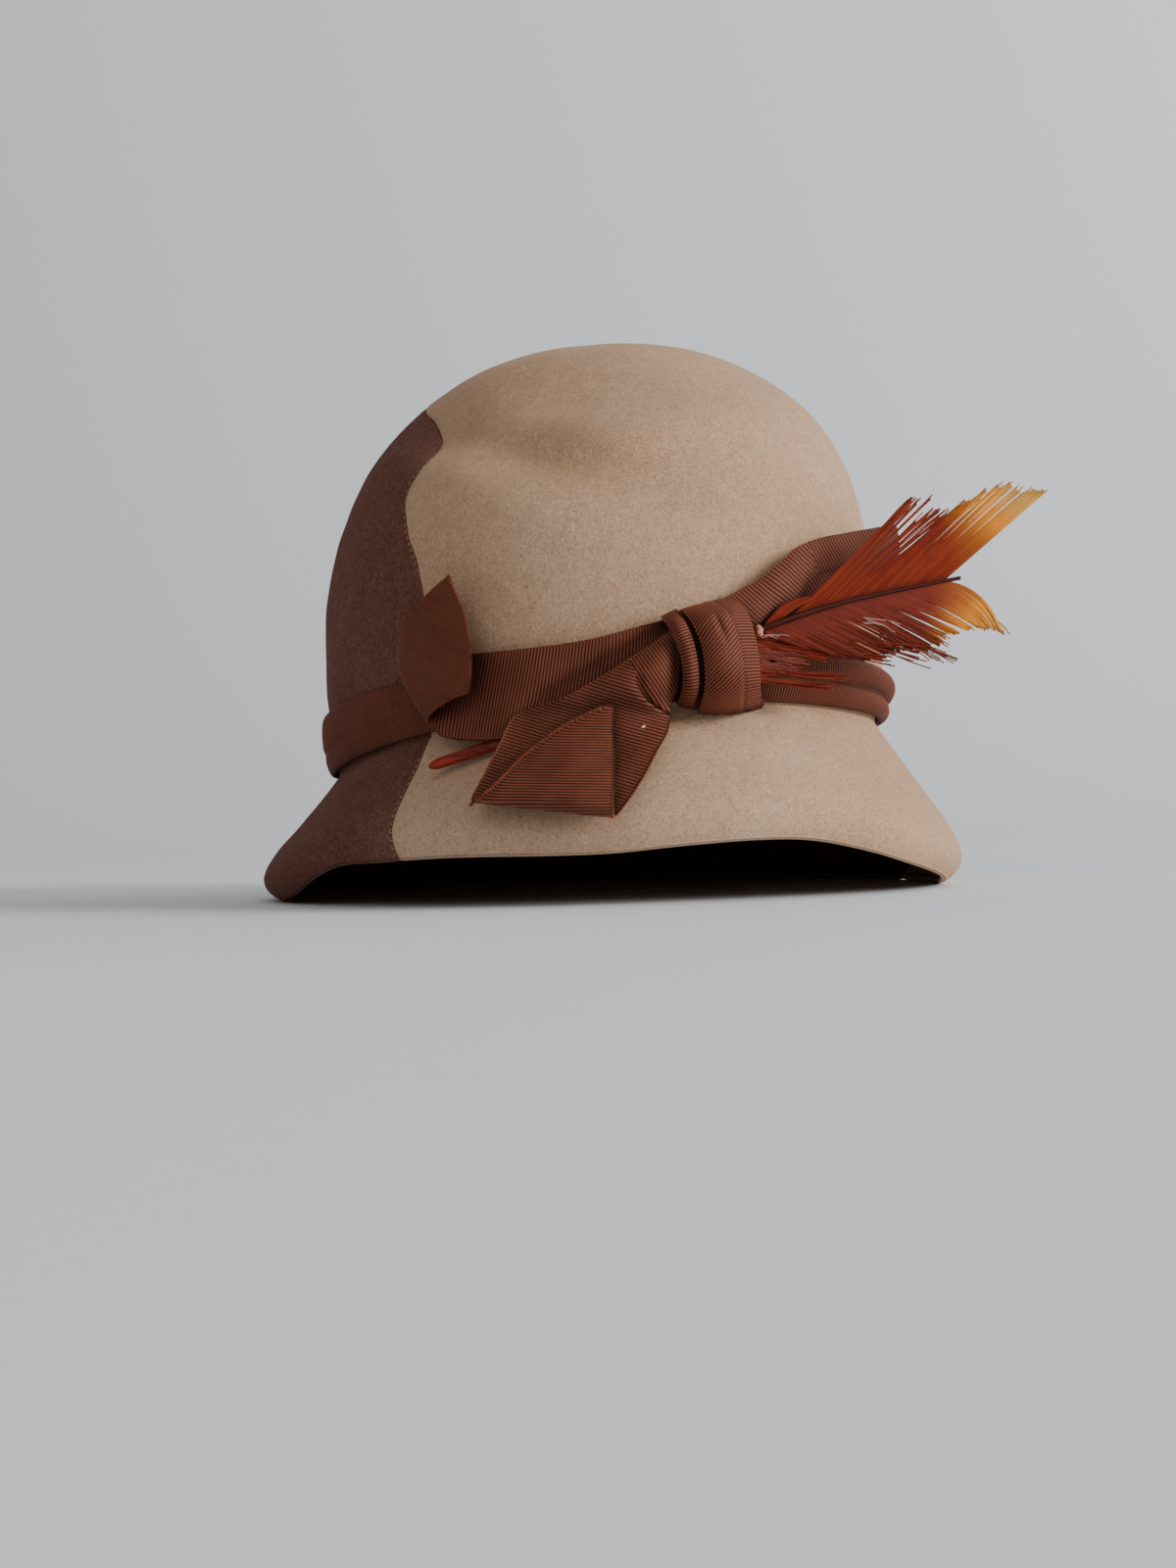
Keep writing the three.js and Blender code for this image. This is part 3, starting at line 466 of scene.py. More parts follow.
def felt_radius(bearing, z):
    """How far out the felt's outer face is: dome, then wall, then brim."""
    crown, join_r, rim_r = (oval(half, bearing) for half in (CROWN, JOIN, RIM))
    join = around("join", bearing)
    rise = np.clip((z - SHOULDER_Z) / (TOP_Z - SHOULDER_Z), 0, 1)
    dome = crown * (1 - rise**DOME_POWER).clip(0) ** (1 / DOME_POWER)
    wall = crown + (join_r - crown) * smoothstep(-z, -SHOULDER_Z, -join)
    widest = brim_edge("rise", bearing) + CURL_HIGH
    down = np.clip((join - z) / (join - widest), 0, 1)
    under = np.clip((widest - z) / CURL_HIGH, 0, 1)
    brim = join_r + (rim_r - join_r) * along(FLARE, "out", "down", down)
    brim -= brim_edge("curl", bearing) * under**CURL_POWER
    return np.where(z >= SHOULDER_Z, dome, np.where(z >= join, wall, brim))


def smooth_felt(bearing, z):
    """The felt before its dents."""
    bearing, z = np.broadcast_arrays(np.asarray(bearing, float), np.asarray(z, float))
    r = felt_radius(bearing, z)
    lean = along(LEAN, "x", "z", z)
    x = r * np.sin(bearing) + lean * math.cos(BOW_TURN)
    y = -r * np.cos(bearing) - lean * math.sin(BOW_TURN)
    return np.stack([x, y, z], -1)


def to_bow(points):
    """From the hat frame to the bow's."""
    x, y, z = np.moveaxis(points, -1, 0)
    return np.stack([x * math.cos(BOW_TURN) - y * math.sin(BOW_TURN),
                     x * math.sin(BOW_TURN) + y * math.cos(BOW_TURN), z], -1)


def from_bow(points):
    """From the bow's frame to the hat's."""
    x, y, z = np.moveaxis(np.asarray(points, float), -1, 0)
    return np.stack([x * math.cos(BOW_TURN) + y * math.sin(BOW_TURN),
                     y * math.cos(BOW_TURN) - x * math.sin(BOW_TURN), z], -1)


def dented(points):
    """Pushes the crown in at its dents, on the bow's side."""
    q = to_bow(points)
    deep = np.zeros(points.shape[:-1])
    for dent in DENTS:
        tilt = math.radians(dent["tilt"])
        x, z = q[..., 0] - dent["x"], q[..., 2] - dent["z"]
        u = (x * math.cos(tilt) + z * math.sin(tilt)) / dent["long"]
        v = (z * math.cos(tilt) - x * math.sin(tilt)) / dent["short"]
        deep += dent["deep"] * np.exp(-0.5 * (u * u + v * v))
    on_bow_side = 1 / (1 + np.exp((q[..., 1] - DENTS_END) / DENTS_FADE))
    return points - unit(points - np.array(CROWN_HEART)) * (deep * on_bow_side)[..., None]


HALVINGS = 30  # rounds of halving, when a place on the felt is looked for


def front_y(x, z):
    """The felt's y in the bow's frame, on the bow's side, found by halving the bearing."""
    x, z = np.broadcast_arrays(np.asarray(x, float), np.asarray(z, float))
    wall = np.minimum(x, TRIM_LEAVES)
    low, high = np.full(x.shape, -np.pi / 2), np.full(x.shape, np.pi / 2)
    for _ in range(HALVINGS):
        middle = (low + high) / 2
        short = to_bow(smooth_felt(middle - BOW_TURN, z))[..., 0] < wall
        low, high = np.where(short, middle, low), np.where(short, high, middle)
    return to_bow(smooth_felt(low - BOW_TURN, z))[..., 1] + (x - wall) * TRIM_SLOPE


def on_bow(x, z, lift):
    """A point in front of the felt, on the bow's side."""
    x, z, lift = (np.asarray(value, float) for value in (x, z, lift))
    return np.stack(np.broadcast_arrays(x, front_y(x, z) - lift, z), -1)


def in_feather(x, z, lift=0.0):
    """A point in the feather's own plane, or a little in front of it."""
    x, z, lift = np.broadcast_arrays(*(np.asarray(value, float) for value in (x, z, lift)))
    return np.stack([x, FEATHER_Y + (x - FEATHER_X) * FEATHER_CANT - lift, z], -1)


def moved_in(points, deep):
    """Points moved into the hat, straight back from the bow's front."""
    return points + np.stack([0 * deep, deep, 0 * deep], -1)


def unevenness(points, seed, waves, shortest, longest):
    """A smooth random field over the points, about -1 to 1."""
    draw = np.random.default_rng(seed)
    total = np.zeros(points.shape[:-1])
    for _ in range(waves):
        way = unit(draw.normal(size=3))
        length = draw.uniform(shortest, longest)
        total += np.sin(points @ way * 2 * np.pi / length + draw.uniform(0, 2 * np.pi))
    return total / math.sqrt(waves)


# ---- meshes ----------------------------------------------------------------------------------

def row_shift():
    """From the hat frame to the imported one, set by where the brim is widest at one side and behind."""
    far = np.array(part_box("felt_back")[1]) / MM
    side, back = (smooth_felt(math.radians(bearing), CURL_HIGH) for bearing in (90, 180))
    return np.array([far[0] - side[0], far[1] - back[1], 0])


ROW_SHIFT = row_shift()


def to_metres(points, bow=True):
    """Millimetres in the bow's frame, or the hat's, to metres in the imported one."""
    return ((from_bow(points) if bow else np.asarray(points, float)) + ROW_SHIFT) * MM


UV_FOR_MM = 0.01  # how much of the flat map a millimetre of ribbon takes


def plain_mesh(name, vertices, faces, floats=None, uv=None):
    """A mesh in metres from vertices, faces (one array for each number of corners) and attributes."""
    mesh = bpy.data.meshes.new(name)
    faces = [np.asarray(group, int) for group in faces if len(group)]
    sizes = np.concatenate([np.full(len(group), group.shape[1]) for group in faces])
    corners = np.concatenate([group.ravel() for group in faces])
    mesh.vertices.add(len(vertices))
    mesh.vertices.foreach_set("co", np.asarray(vertices, np.float32).ravel())
    mesh.loops.add(len(corners))
    mesh.loops.foreach_set("vertex_index", corners.astype(np.int32))
    mesh.polygons.add(len(sizes))
    mesh.polygons.foreach_set("loop_start", (np.cumsum(sizes) - sizes).astype(np.int32))
    mesh.polygons.foreach_set("use_smooth", np.ones(len(sizes), bool))
    mesh.update(calc_edges=True)
    for key, values in (floats or {}).items():
        mesh.attributes.new(key, "FLOAT", "POINT").data.foreach_set("value", np.asarray(values, np.float32))
    if uv is not None:
        layer = mesh.uv_layers.new(name="laid_flat")
        layer.data.foreach_set("uv", np.asarray(uv, np.float32)[corners].ravel())
    mesh.validate()
    return mesh


def finish_piece(name, mesh, material, slot, replaces=()):
    """Makes a finished mesh a piece of the hat."""
    piece = bpy.data.objects.new(name, mesh)
    bpy.context.scene.collection.objects.link(piece)
    mesh.materials.clear()
    mesh.materials.append(material)
    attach(piece, "root")
    if replaces:
        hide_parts(*replaces)
    return piece


def tube(line, radius, guide):
    """Rings of points round a line, which way it runs, and its faces, with two cap middles last.

    radius has a row for each ring, and guide is a way that the line never takes.
    """
    count, sides = radius.shape
    forward = unit(np.gradient(line, axis=0))
    side = unit(np.cross(np.array(guide, float), forward))
    up = np.cross(forward, side)
    angle = np.linspace(0, 2 * np.pi, sides, endpoint=False)
    rings = (line[:, None] + (radius * np.cos(angle))[..., None] * side[:, None]
             + (radius * np.sin(angle))[..., None] * up[:, None])
    first, last = np.arange(sides), (count - 1) * sides + np.arange(sides)
    caps = np.vstack([np.stack([np.full(sides, count * sides), np.roll(first, -1), first], -1),
                      np.stack([np.full(sides, count * sides + 1), last, np.roll(last, -1)], -1)])
    return rings, forward, [grid_faces(count, sides, closed=True), caps]


def grid_faces(rows, columns, start=0, closed=False):
    """Quads over a grid of vertices; a closed grid's last column joins its first."""
    r = np.arange(rows - 1)[:, None]
    c = np.arange(columns if closed else columns - 1)[None, :]
    after = (c + 1) % columns
    quads = np.stack(np.broadcast_arrays(r * columns + c, (r + 1) * columns + c,
                                         (r + 1) * columns + after, r * columns + after), -1)
    return quads.reshape(-1, 4) + start


# ---- materials -------------------------------------------------------------------------------

class Finish:
    """A material being made: each call adds a node and gives back its first output."""

    def __init__(self, name, **shader):
        self.material = bpy.data.materials.new(name)
        self.material.use_nodes = True
        self.tree = self.material.node_tree
        self.shader = self.tree.nodes["Principled BSDF"]
        for key, value in shader.items():
            self.set(self.shader, key.replace("_", " "), value)

    def set(self, node, socket, value):
        socket = node.inputs[socket]
        if isinstance(value, bpy.types.NodeSocket):
            self.tree.links.new(value, socket)
        else:
            socket.default_value = value

    def node(self, kind, inputs=None, **settings):
        made = self.tree.nodes.new("ShaderNode" + kind)
        for key, value in settings.items():
            setattr(made, key, value)
        for key, value in (inputs or {}).items():
            self.set(made, key, value)
        return made

    def place(self):
        """Where on the hat, in metres."""
        return self.node("TexCoord").outputs["Object"]

    def flat(self):
        """Where on the ribbon, laid flat."""
        return self.node("UVMap", uv_map="laid_flat").outputs["UV"]

    def stretched(self, vector, scale, turn=(0, 0, 0)):
        return self.node("Mapping", {"Vector": vector, "Scale": scale, "Rotation": turn}).outputs["Vector"]

    def noise(self, vector, scale, detail=3.0, roughness=0.55, distortion=0.0):
        """A random mottle, with its scale in lumps for each metre."""
        return self.node("TexNoise", {"Vector": vector, "Scale": scale, "Detail": detail,
                                      "Roughness": roughness, "Distortion": distortion}).outputs["Fac"]

    def read(self, name):
        """One of the mesh's own values."""
        return self.node("Attribute", attribute_name=name).outputs["Fac"]

    def ranged(self, value, low, high, to_low=0.0, to_high=1.0):
        """A value spread from one range over another, and kept in it."""
        return self.node("MapRange", {"Value": value, "From Min": low, "From Max": high,
                                      "To Min": to_low, "To Max": to_high}).outputs["Result"]

    def maths(self, operation, first, second):
        made = self.node("Math", operation=operation)
        self.set(made, 0, first)
        self.set(made, 1, second)
        return made.outputs[0]

    def mixed(self, share, first, second, blend="MIX"):
        """Two colours mixed; a name is a named colour."""
        made = self.node("Mix", data_type="RGBA", blend_type=blend)
        for socket, value in ((0, share), (6, first), (7, second)):
            self.set(made, socket, linear(value) if isinstance(value, str) else value)
        return made.outputs[2]

    def bump(self, height, strength, distance, normal=None):
        inputs = {"Height": height, "Strength": strength, "Distance": distance}
        if normal is not None:
            inputs["Normal"] = normal
        return self.node("Bump", inputs).outputs["Normal"]

    def done(self, colour, normal=None, roughness=None):
        """Gives the shader its colour, bumps and roughness, and gives back the material."""
        self.set(self.shader, "Base Color", colour)
        if normal is not None:
            self.set(self.shader, "Normal", normal)
        if roughness is not None:
            self.set(self.shader, "Roughness", roughness)
        return self.material


def felt_finish(name, ground, pale, dark, cloud, heather):
    """Wool felt: soft clouds of colour, a heathered mottle, a nap of short matted fibres, and a painted
    highlight on the brim's cut edge.
    """
    finish = Finish(name, Sheen_Weight=0.25, Sheen_Roughness=0.45, Sheen_Tint=linear(pale),
                    Specular_IOR_Level=0.06)
    place = finish.place()
    clouds = finish.noise(place, 14, detail=2, roughness=0.5)
    mottle = finish.noise(place, 320, detail=4, roughness=0.7)
    specks = finish.noise(place, 1300, detail=3, roughness=0.75, distortion=0.6)
    lie = finish.stretched(place, (2600, 2600, 800), (0.5, 0.9, 0.3))
    hairs = finish.noise(lie, 1, detail=2, roughness=0.7)
    colour = finish.mixed(finish.ranged(clouds, 0.4, 0.65, 0, 0.7), ground, cloud)
    for pattern, low, high, share, tint in (
            (clouds, 0.42, 0.3, 0.25, pale),
            (mottle, 0.5, 0.72, heather * 0.7, dark), (mottle, 0.45, 0.28, heather * 0.7, pale),
            (specks, 0.52, 0.68, heather * 1.8, dark), (specks, 0.46, 0.3, heather * 1.6, pale),
            (hairs, 0.56, 0.68, heather * 1.3, pale)):
        colour = finish.mixed(finish.ranged(pattern, low, high, 0, share), colour, tint)
    # Painted highlight: the brim's rounded cut edge, where its fuzz catches the light, is mixed halfway to
    # the pale colour.
    colour = finish.mixed(finish.maths("MULTIPLY", finish.read("cut"), 0.5), colour, pale)
    nap = None
    for pattern, strength, high in ((mottle, 0.3, 0.0005), (specks, 0.7, 0.0003), (hairs, 0.5, 0.00015)):
        nap = finish.bump(pattern, strength, high, nap)
    return finish.done(colour, nap, finish.ranged(mottle, 0.3, 0.7, 0.88, 1.0))


FOLD_SHADE_REACH = 11  # how near other cloth has to be for the painted shade in the folds to darken the ribbon


def grosgrain_finish():
    """Ribbed ribbon: painted shade between the ribs and in its folds, a painted highlight on rib backs, fine
    yarns across, rusty where cut.
    """
    finish = Finish("ribbed_ribbon", Sheen_Weight=0.1, Sheen_Roughness=0.35,
                    Sheen_Tint=linear("ribbon pale"), Specular_IOR_Level=0.2)
    flat, place = finish.flat(), finish.place()
    yarns = finish.noise(finish.stretched(flat, (60, 900, 1)), 1, detail=3, roughness=0.6)
    slubs = finish.noise(finish.stretched(flat, (95, 8, 1)), 1, detail=2)
    worn = finish.noise(place, 90, detail=3)
    rib = finish.read("rib")
    colour = finish.mixed(finish.ranged(worn, 0.35, 0.7, 0, 0.25), "ribbon", "ribbon pale")
    # The ribs' backs get a painted highlight and their valleys a painted shade; the wear, slubs and fine
    # yarns are the ribbon's own colour.
    for pattern, low, high, share, tint in (
            (rib, 0.6, 1.0, 0.7, "ribbon pale"), (slubs, 0.4, 0.7, 0.25, "ribbon pale"),
            (yarns, 0.45, 0.75, 0.3, "ribbon valley"), (rib, 0.82, 0.25, 0.97, "ribbon valley")):
        colour = finish.mixed(finish.ranged(pattern, low, high, 0, share), colour, tint)
    colour = finish.mixed(finish.maths("MULTIPLY", finish.read("selvedge"), 0.5), colour, "ribbon pale")
    colour = finish.mixed(finish.maths("MULTIPLY", finish.read("fray"), 0.6), colour, "fray")
    # Painted shade: ambient occlusion darkens the ribbon towards its valley colour in its folds and where
    # other cloth is near.
    open_air = finish.node("AmbientOcclusion", {"Distance": FOLD_SHADE_REACH * MM}, samples=6).outputs["AO"]
    colour = finish.mixed(finish.ranged(open_air, 0.85, 0.3, 0, 0.85), colour, "ribbon valley")
    weave = finish.bump(yarns, 0.35, 0.00015)
    return finish.done(colour, weave, finish.ranged(yarns, 0.3, 0.7, 0.6, 0.8))


def vane_finish():
    """Dyed barbs: rust by the shaft, amber to straw at the far tips, with duller patches."""
    finish = Finish("dyed_vane", Sheen_Weight=0.02, Sheen_Roughness=0.35, Sheen_Tint=linear("barb amber"),
                    Specular_IOR_Level=0.09)
    place = finish.place()
    patch = finish.noise(place, 110, detail=3, roughness=0.6)
    streak = finish.read("streak")
    gold = finish.read("gold")
    colour = finish.mixed(finish.ranged(streak, -0.3, 1.3), "barb rust", "barb ember")
    colour = finish.mixed(finish.ranged(patch, 0.54, 0.7, 0, 0.3), colour, "barb shade")
    colour = finish.mixed(finish.ranged(gold, 0.02, 0.45), colour, "barb amber")
    colour = finish.mixed(finish.ranged(gold, 0.55, 1.0, 0, 0.85), colour, "barb straw")
    colour = finish.mixed(finish.read("dark"), colour, "barb shade")
    colour = finish.mixed(finish.read("pale"), colour, "lint")
    fine = finish.noise(place, 2600, detail=2)
    return finish.done(colour, finish.bump(fine, 0.3, 0.0001), finish.ranged(streak, 0, 1, 0.45, 0.65))


def quill_finish():
    """Glossy red-brown horn where it is bare, duller along the shaft."""
    finish = Finish("horny_quill", Coat_Roughness=0.12, Specular_IOR_Level=0.15)
    growth = finish.noise(finish.stretched(finish.place(), (120, 120, 900)), 1, detail=3)
    bare = finish.read("bare")
    colour = finish.mixed(finish.ranged(growth, 0.3, 0.7), "quill dark", "quill amber")
    colour = finish.mixed(bare, "quill dark", colour)
    finish.set(finish.shader, "Coat Weight", finish.ranged(bare, 0, 1, 0, 0.3))
    return finish.done(colour, finish.bump(growth, 0.15, 0.0001), finish.ranged(growth, 0.3, 0.7, 0.4, 0.55))


def small_finish(name, first, second, scale, roughness):
    """A small scrap's finish: two close colours, mottled, over a fine grain."""
    finish = Finish(name, Specular_IOR_Level=0.3)
    grain = finish.noise(finish.place(), scale, detail=3)
    colour = finish.mixed(finish.ranged(grain, 0.35, 0.65), first, second)
    gloss = finish.ranged(grain, 0, 1, roughness, roughness + 0.15)
    return finish.done(colour, finish.bump(grain, 0.3, 0.0001), gloss)


CREAM_FELT = felt_finish("cream_felt", "cream", "cream pale", "cream dark", "cream tan", 0.42)
BROWN_FELT = felt_finish("brown_felt", "brown", "brown pale", "brown dark", "brown", 0.45)
GROSGRAIN = grosgrain_finish()
VANE = vane_finish()
QUILL = quill_finish()
CREAM_THREAD = small_finish("seam_thread", "cream pale", "cream dark", 900, 0.7)
FRAYED = small_finish("frayed_yarn", "fray", "ribbon", 700, 0.7)
LOOSE_THREAD = small_finish("loose_thread", "thread", "cream dark", 800, 0.6)
GLUE = small_finish("glue", "glue", "ribbon pale", 500, 0.35)
LINT = small_finish("lint", "lint", "cream pale", 900, 0.8)


# ---- small shapes strewn or drawn along a path by geometry nodes -------------------------------

def new_tree(name, sockets):
    """An empty tree with named inputs; gives the tree, its input node and its output node."""
    tree = bpy.data.node_groups.new(name, "GeometryNodeTree")
    tree.interface.new_socket("Geometry", in_out="INPUT", socket_type="NodeSocketGeometry")
    for title, kind in sockets:
        tree.interface.new_socket(title, in_out="INPUT", socket_type="NodeSocket" + kind)
    tree.interface.new_socket("Geometry", in_out="OUTPUT", socket_type="NodeSocketGeometry")
    return tree, tree.nodes.new("NodeGroupInput"), tree.nodes.new("NodeGroupOutput")


def tree_node(tree, kind, inputs=None, **settings):
    """A node with its settings, and each input linked or set."""
    made = tree.nodes.new(kind)
    for key, value in settings.items():
        setattr(made, key, value)
    for key, value in (inputs or {}).items():
        socket = made.inputs[key]
        if isinstance(value, bpy.types.NodeSocket):
            tree.links.new(value, socket)
        else:
            socket.default_value = value
    return made


def attribute_node(tree, name, kind="FLOAT"):
    """Reads one of the mesh's own values in a tree."""
    made = tree_node(tree, "GeometryNodeInputNamedAttribute", {"Name": name}, data_type=kind)
    return made.outputs["Attribute"]


def ending(tree, out, geometry, finish):
    """Ends a tree: makes its instances real and gives them their material."""
    real = tree_node(tree, "GeometryNodeRealizeInstances", {"Geometry": geometry})
    painted = tree_node(tree, "GeometryNodeSetMaterial", {"Geometry": real.outputs[0], "Material": finish})
    tree.links.new(painted.outputs[0], out.inputs["Geometry"])


def strewing_tree():
    """Puts a thin strand or stitch at each point, along the point's "way" and its "reach" long."""
    tree, given, out = new_tree("strewn_strands", [("Girth", "Float"), ("Blunt", "Float"), ("Stray", "Float"),
                                                   ("Seed", "Int"), ("Finish", "Material")])
    strand = tree_node(tree, "GeometryNodeMeshCone", {
        "Vertices": 5, "Side Segments": 2, "Radius Top": given.outputs["Blunt"],
        "Radius Bottom": 1.0, "Depth": 1.0}, fill_type="TRIANGLE_FAN")
    wander = tree_node(tree, "FunctionNodeRandomValue", {
        "Min": (-1.0, -1.0, -1.0), "Max": (1.0, 1.0, 1.0), "Seed": given.outputs["Seed"]},
        data_type="FLOAT_VECTOR")
    stray = tree_node(tree, "ShaderNodeVectorMath", {
        0: wander.outputs[0], 3: given.outputs["Stray"]}, operation="SCALE")
    way = tree_node(tree, "ShaderNodeVectorMath", {
        0: attribute_node(tree, "way", "FLOAT_VECTOR"), 1: stray.outputs[0]}, operation="ADD")
    turn = tree_node(tree, "FunctionNodeAlignRotationToVector", {"Vector": way.outputs[0]}, axis="Z")
    size = tree_node(tree, "ShaderNodeCombineXYZ", {
        "X": given.outputs["Girth"], "Y": given.outputs["Girth"], "Z": attribute_node(tree, "reach")})
    points = tree_node(tree, "GeometryNodeMeshToPoints", {
        "Mesh": given.outputs["Geometry"], "Radius": 0.0001})
    strewn = tree_node(tree, "GeometryNodeInstanceOnPoints", {
        "Points": points.outputs[0], "Instance": strand.outputs[0],
        "Rotation": turn.outputs[0], "Scale": size.outputs[0]})
    ending(tree, out, strewn.outputs[0], given.outputs["Finish"])
    return tree


def barb_tree():
    """Draws a thin flat blade along each guide line, "girth" wide, turned so that blades lap."""
    tree, given, out = new_tree("lapping_barbs", [("Width", "Float"), ("Thickness", "Float"),
                                                  ("Shingle", "Float"), ("Finish", "Material")])
    lines = tree_node(tree, "GeometryNodeMeshToCurve", {"Mesh": given.outputs["Geometry"]})
    upright = tree_node(tree, "GeometryNodeSetCurveNormal", {"Curve": lines.outputs[0]}, mode="Z_UP")
    tilted = tree_node(tree, "GeometryNodeSetCurveTilt", {
        "Curve": upright.outputs[0], "Tilt": given.outputs["Shingle"]})
    sized = tree_node(tree, "GeometryNodeSetCurveRadius", {
        "Curve": tilted.outputs[0], "Radius": attribute_node(tree, "girth")})
    section = tree_node(tree, "GeometryNodeCurvePrimitiveQuadrilateral", {
        "Bottom Width": given.outputs["Thickness"], "Top Width": given.outputs["Thickness"],
        "Height": given.outputs["Width"], "Offset": 0.0}, mode="TRAPEZOID")
    blades = tree_node(tree, "GeometryNodeCurveToMesh", {
        "Curve": sized.outputs[0], "Profile Curve": section.outputs[0], "Fill Caps": True})
    smooth = tree_node(tree, "GeometryNodeSetShadeSmooth", {"Geometry": blades.outputs[0]})
    ending(tree, out, smooth.outputs[0], given.outputs["Finish"])
    return tree


def grown(name, mesh, tree, inputs):
    """Runs a tree on a mesh and gives the result as a plain mesh."""
    guide = bpy.data.objects.new(name + "_guide", mesh)
    bpy.context.scene.collection.objects.link(guide)
    modifier = guide.modifiers.new("grow", "NODES")
    modifier.node_group = tree
    for item in tree.interface.items_tree:
        if item.item_type == "SOCKET" and item.in_out == "INPUT" and item.name in inputs:
            modifier[item.identifier] = inputs[item.name]
    graph = bpy.context.evaluated_depsgraph_get()
    made = bpy.data.meshes.new_from_object(guide.evaluated_get(graph))
    guide.modifiers.remove(modifier)
    bpy.data.objects.remove(guide)
    made.name = name
    return made


STREWING = strewing_tree()
BARBS = barb_tree()


def strewn(name, points, ways, reaches, girth, material, slot, blunt=0.0, stray=0.0, seed=0,
           bow=True):
    """Strands at points (mm): each runs along its way for its reach, and is girth thick."""
    mesh = bpy.data.meshes.new(name + "_points")
    ends = to_metres(np.stack([points, points + unit(ways)]), bow)
    mesh.vertices.add(len(points))
    mesh.vertices.foreach_set("co", ends[0].astype(np.float32).ravel())
    way = mesh.attributes.new("way", "FLOAT_VECTOR", "POINT")
    way.data.foreach_set("vector", unit(ends[1] - ends[0]).astype(np.float32).ravel())
    reach = mesh.attributes.new("reach", "FLOAT", "POINT")
    reach.data.foreach_set("value", (np.asarray(reaches) * MM).astype(np.float32))
    mesh.update()
    made = grown(name, mesh, STREWING, {"Girth": girth * MM / 2, "Blunt": blunt, "Stray": stray,
                                        "Seed": seed, "Finish": material})
    return finish_piece(name, made, material, slot)


# ---- the two felts ---------------------------------------------------------------------------

BEARINGS = 440  # columns round the hat
STATIONS = np.concatenate([np.linspace(0, 1, 82)[1:], np.linspace(1, 2, 12)[1:],
                           np.linspace(2, WIDEST, 29)[1:], np.linspace(WIDEST, 3, 13)[1:]])
SEAM_LINES = (6.0, 3.6, 2.4, 1.6, 1.0, 0.6, 0.35, 0.15)  # rows of vertices beside the seam
SEAM_SUNK = 0.55  # how deep the seam draws the felt in
SEAM_SPREAD = 1.5  # and how far out from it
BRIM_ROUND = 1.1  # how far the brim's cut edge rounds over
SEAM_ROUND = 0.05  # and the seam's
EDGE_TURNS = 7  # rows round a cut edge, with the two faces' own
BRIM_CUT = 3  # an open edge no higher than this over the brim's is the brim's cut one
WAVY = 0.3  # how uneven hand blocking has left the felt
WAVES = [
    {"share": 0.7, "seed": 11, "waves": 9, "shortest": 34, "longest": 80},
    {"share": 0.3, "seed": 12, "waves": 12, "shortest": 9, "longest": 20},
]
WAVES_START = 14  # how far above the brim's edge they are in full
WAVES_INSIDE = 0.6  # how much of them the inside has


def felt_sheet():
    """The whole hat's outer face as one sheet, with the edge left short by its rounding."""
    bearing = np.arange(BEARINGS) / BEARINGS * 2 * np.pi
    b, s = np.meshgrid(bearing, STATIONS)
    slope = CURL_POWER * brim_edge("curl", b) / CURL_HIGH
    left = 1 - BRIM_ROUND * (1 - slope / np.hypot(1, slope)) / CURL_HIGH
    s = np.where(s > WIDEST, WIDEST + (s - WIDEST) * left, s)
    points = dented(smooth_felt(b, height_at(b, s))).reshape(-1, 3)
    top = dented(smooth_felt(np.zeros(1), np.full(1, float(TOP_Z))))
    quads = grid_faces(len(STATIONS), BEARINGS, start=1, closed=True)
    ring = 1 + np.arange(BEARINGS)
    fan = np.stack([np.zeros(BEARINGS, int), ring, np.roll(ring, -1)], -1)
    return np.vstack([top, points]), fan, quads


def seam_y(z):
    """Where the seam is at a height."""
    return along(SEAM, "y", "z", z)


def felt_half(way):
    """The sheet on one side of the seam (way 1 behind it), split in rows beside it."""
    points, fan, quads = felt_sheet()
    past = points[:, 1] - seam_y(points[:, 2])
    bm = bmesh.new()
    corners = [bm.verts.new((p[0], f, p[2])) for p, f in zip(points, past)]
    for face in [*fan, *quads]:
        bm.faces.new([corners[i] for i in face])
    for line in SEAM_LINES:
        bmesh.ops.bisect_plane(bm, geom=[*bm.verts, *bm.edges, *bm.faces], dist=1e-4,
                               plane_co=(0, way * line, 0), plane_no=(0, way, 0),
                               clear_inner=line == SEAM_LINES[-1])
    bmesh.ops.triangulate(bm, faces=[face for face in bm.faces if len(face.verts) > 4])
    for vert in bm.verts:
        vert.co.y += float(seam_y(vert.co.z))
    bm.normal_update()
    bm.verts.index_update()
    return bm


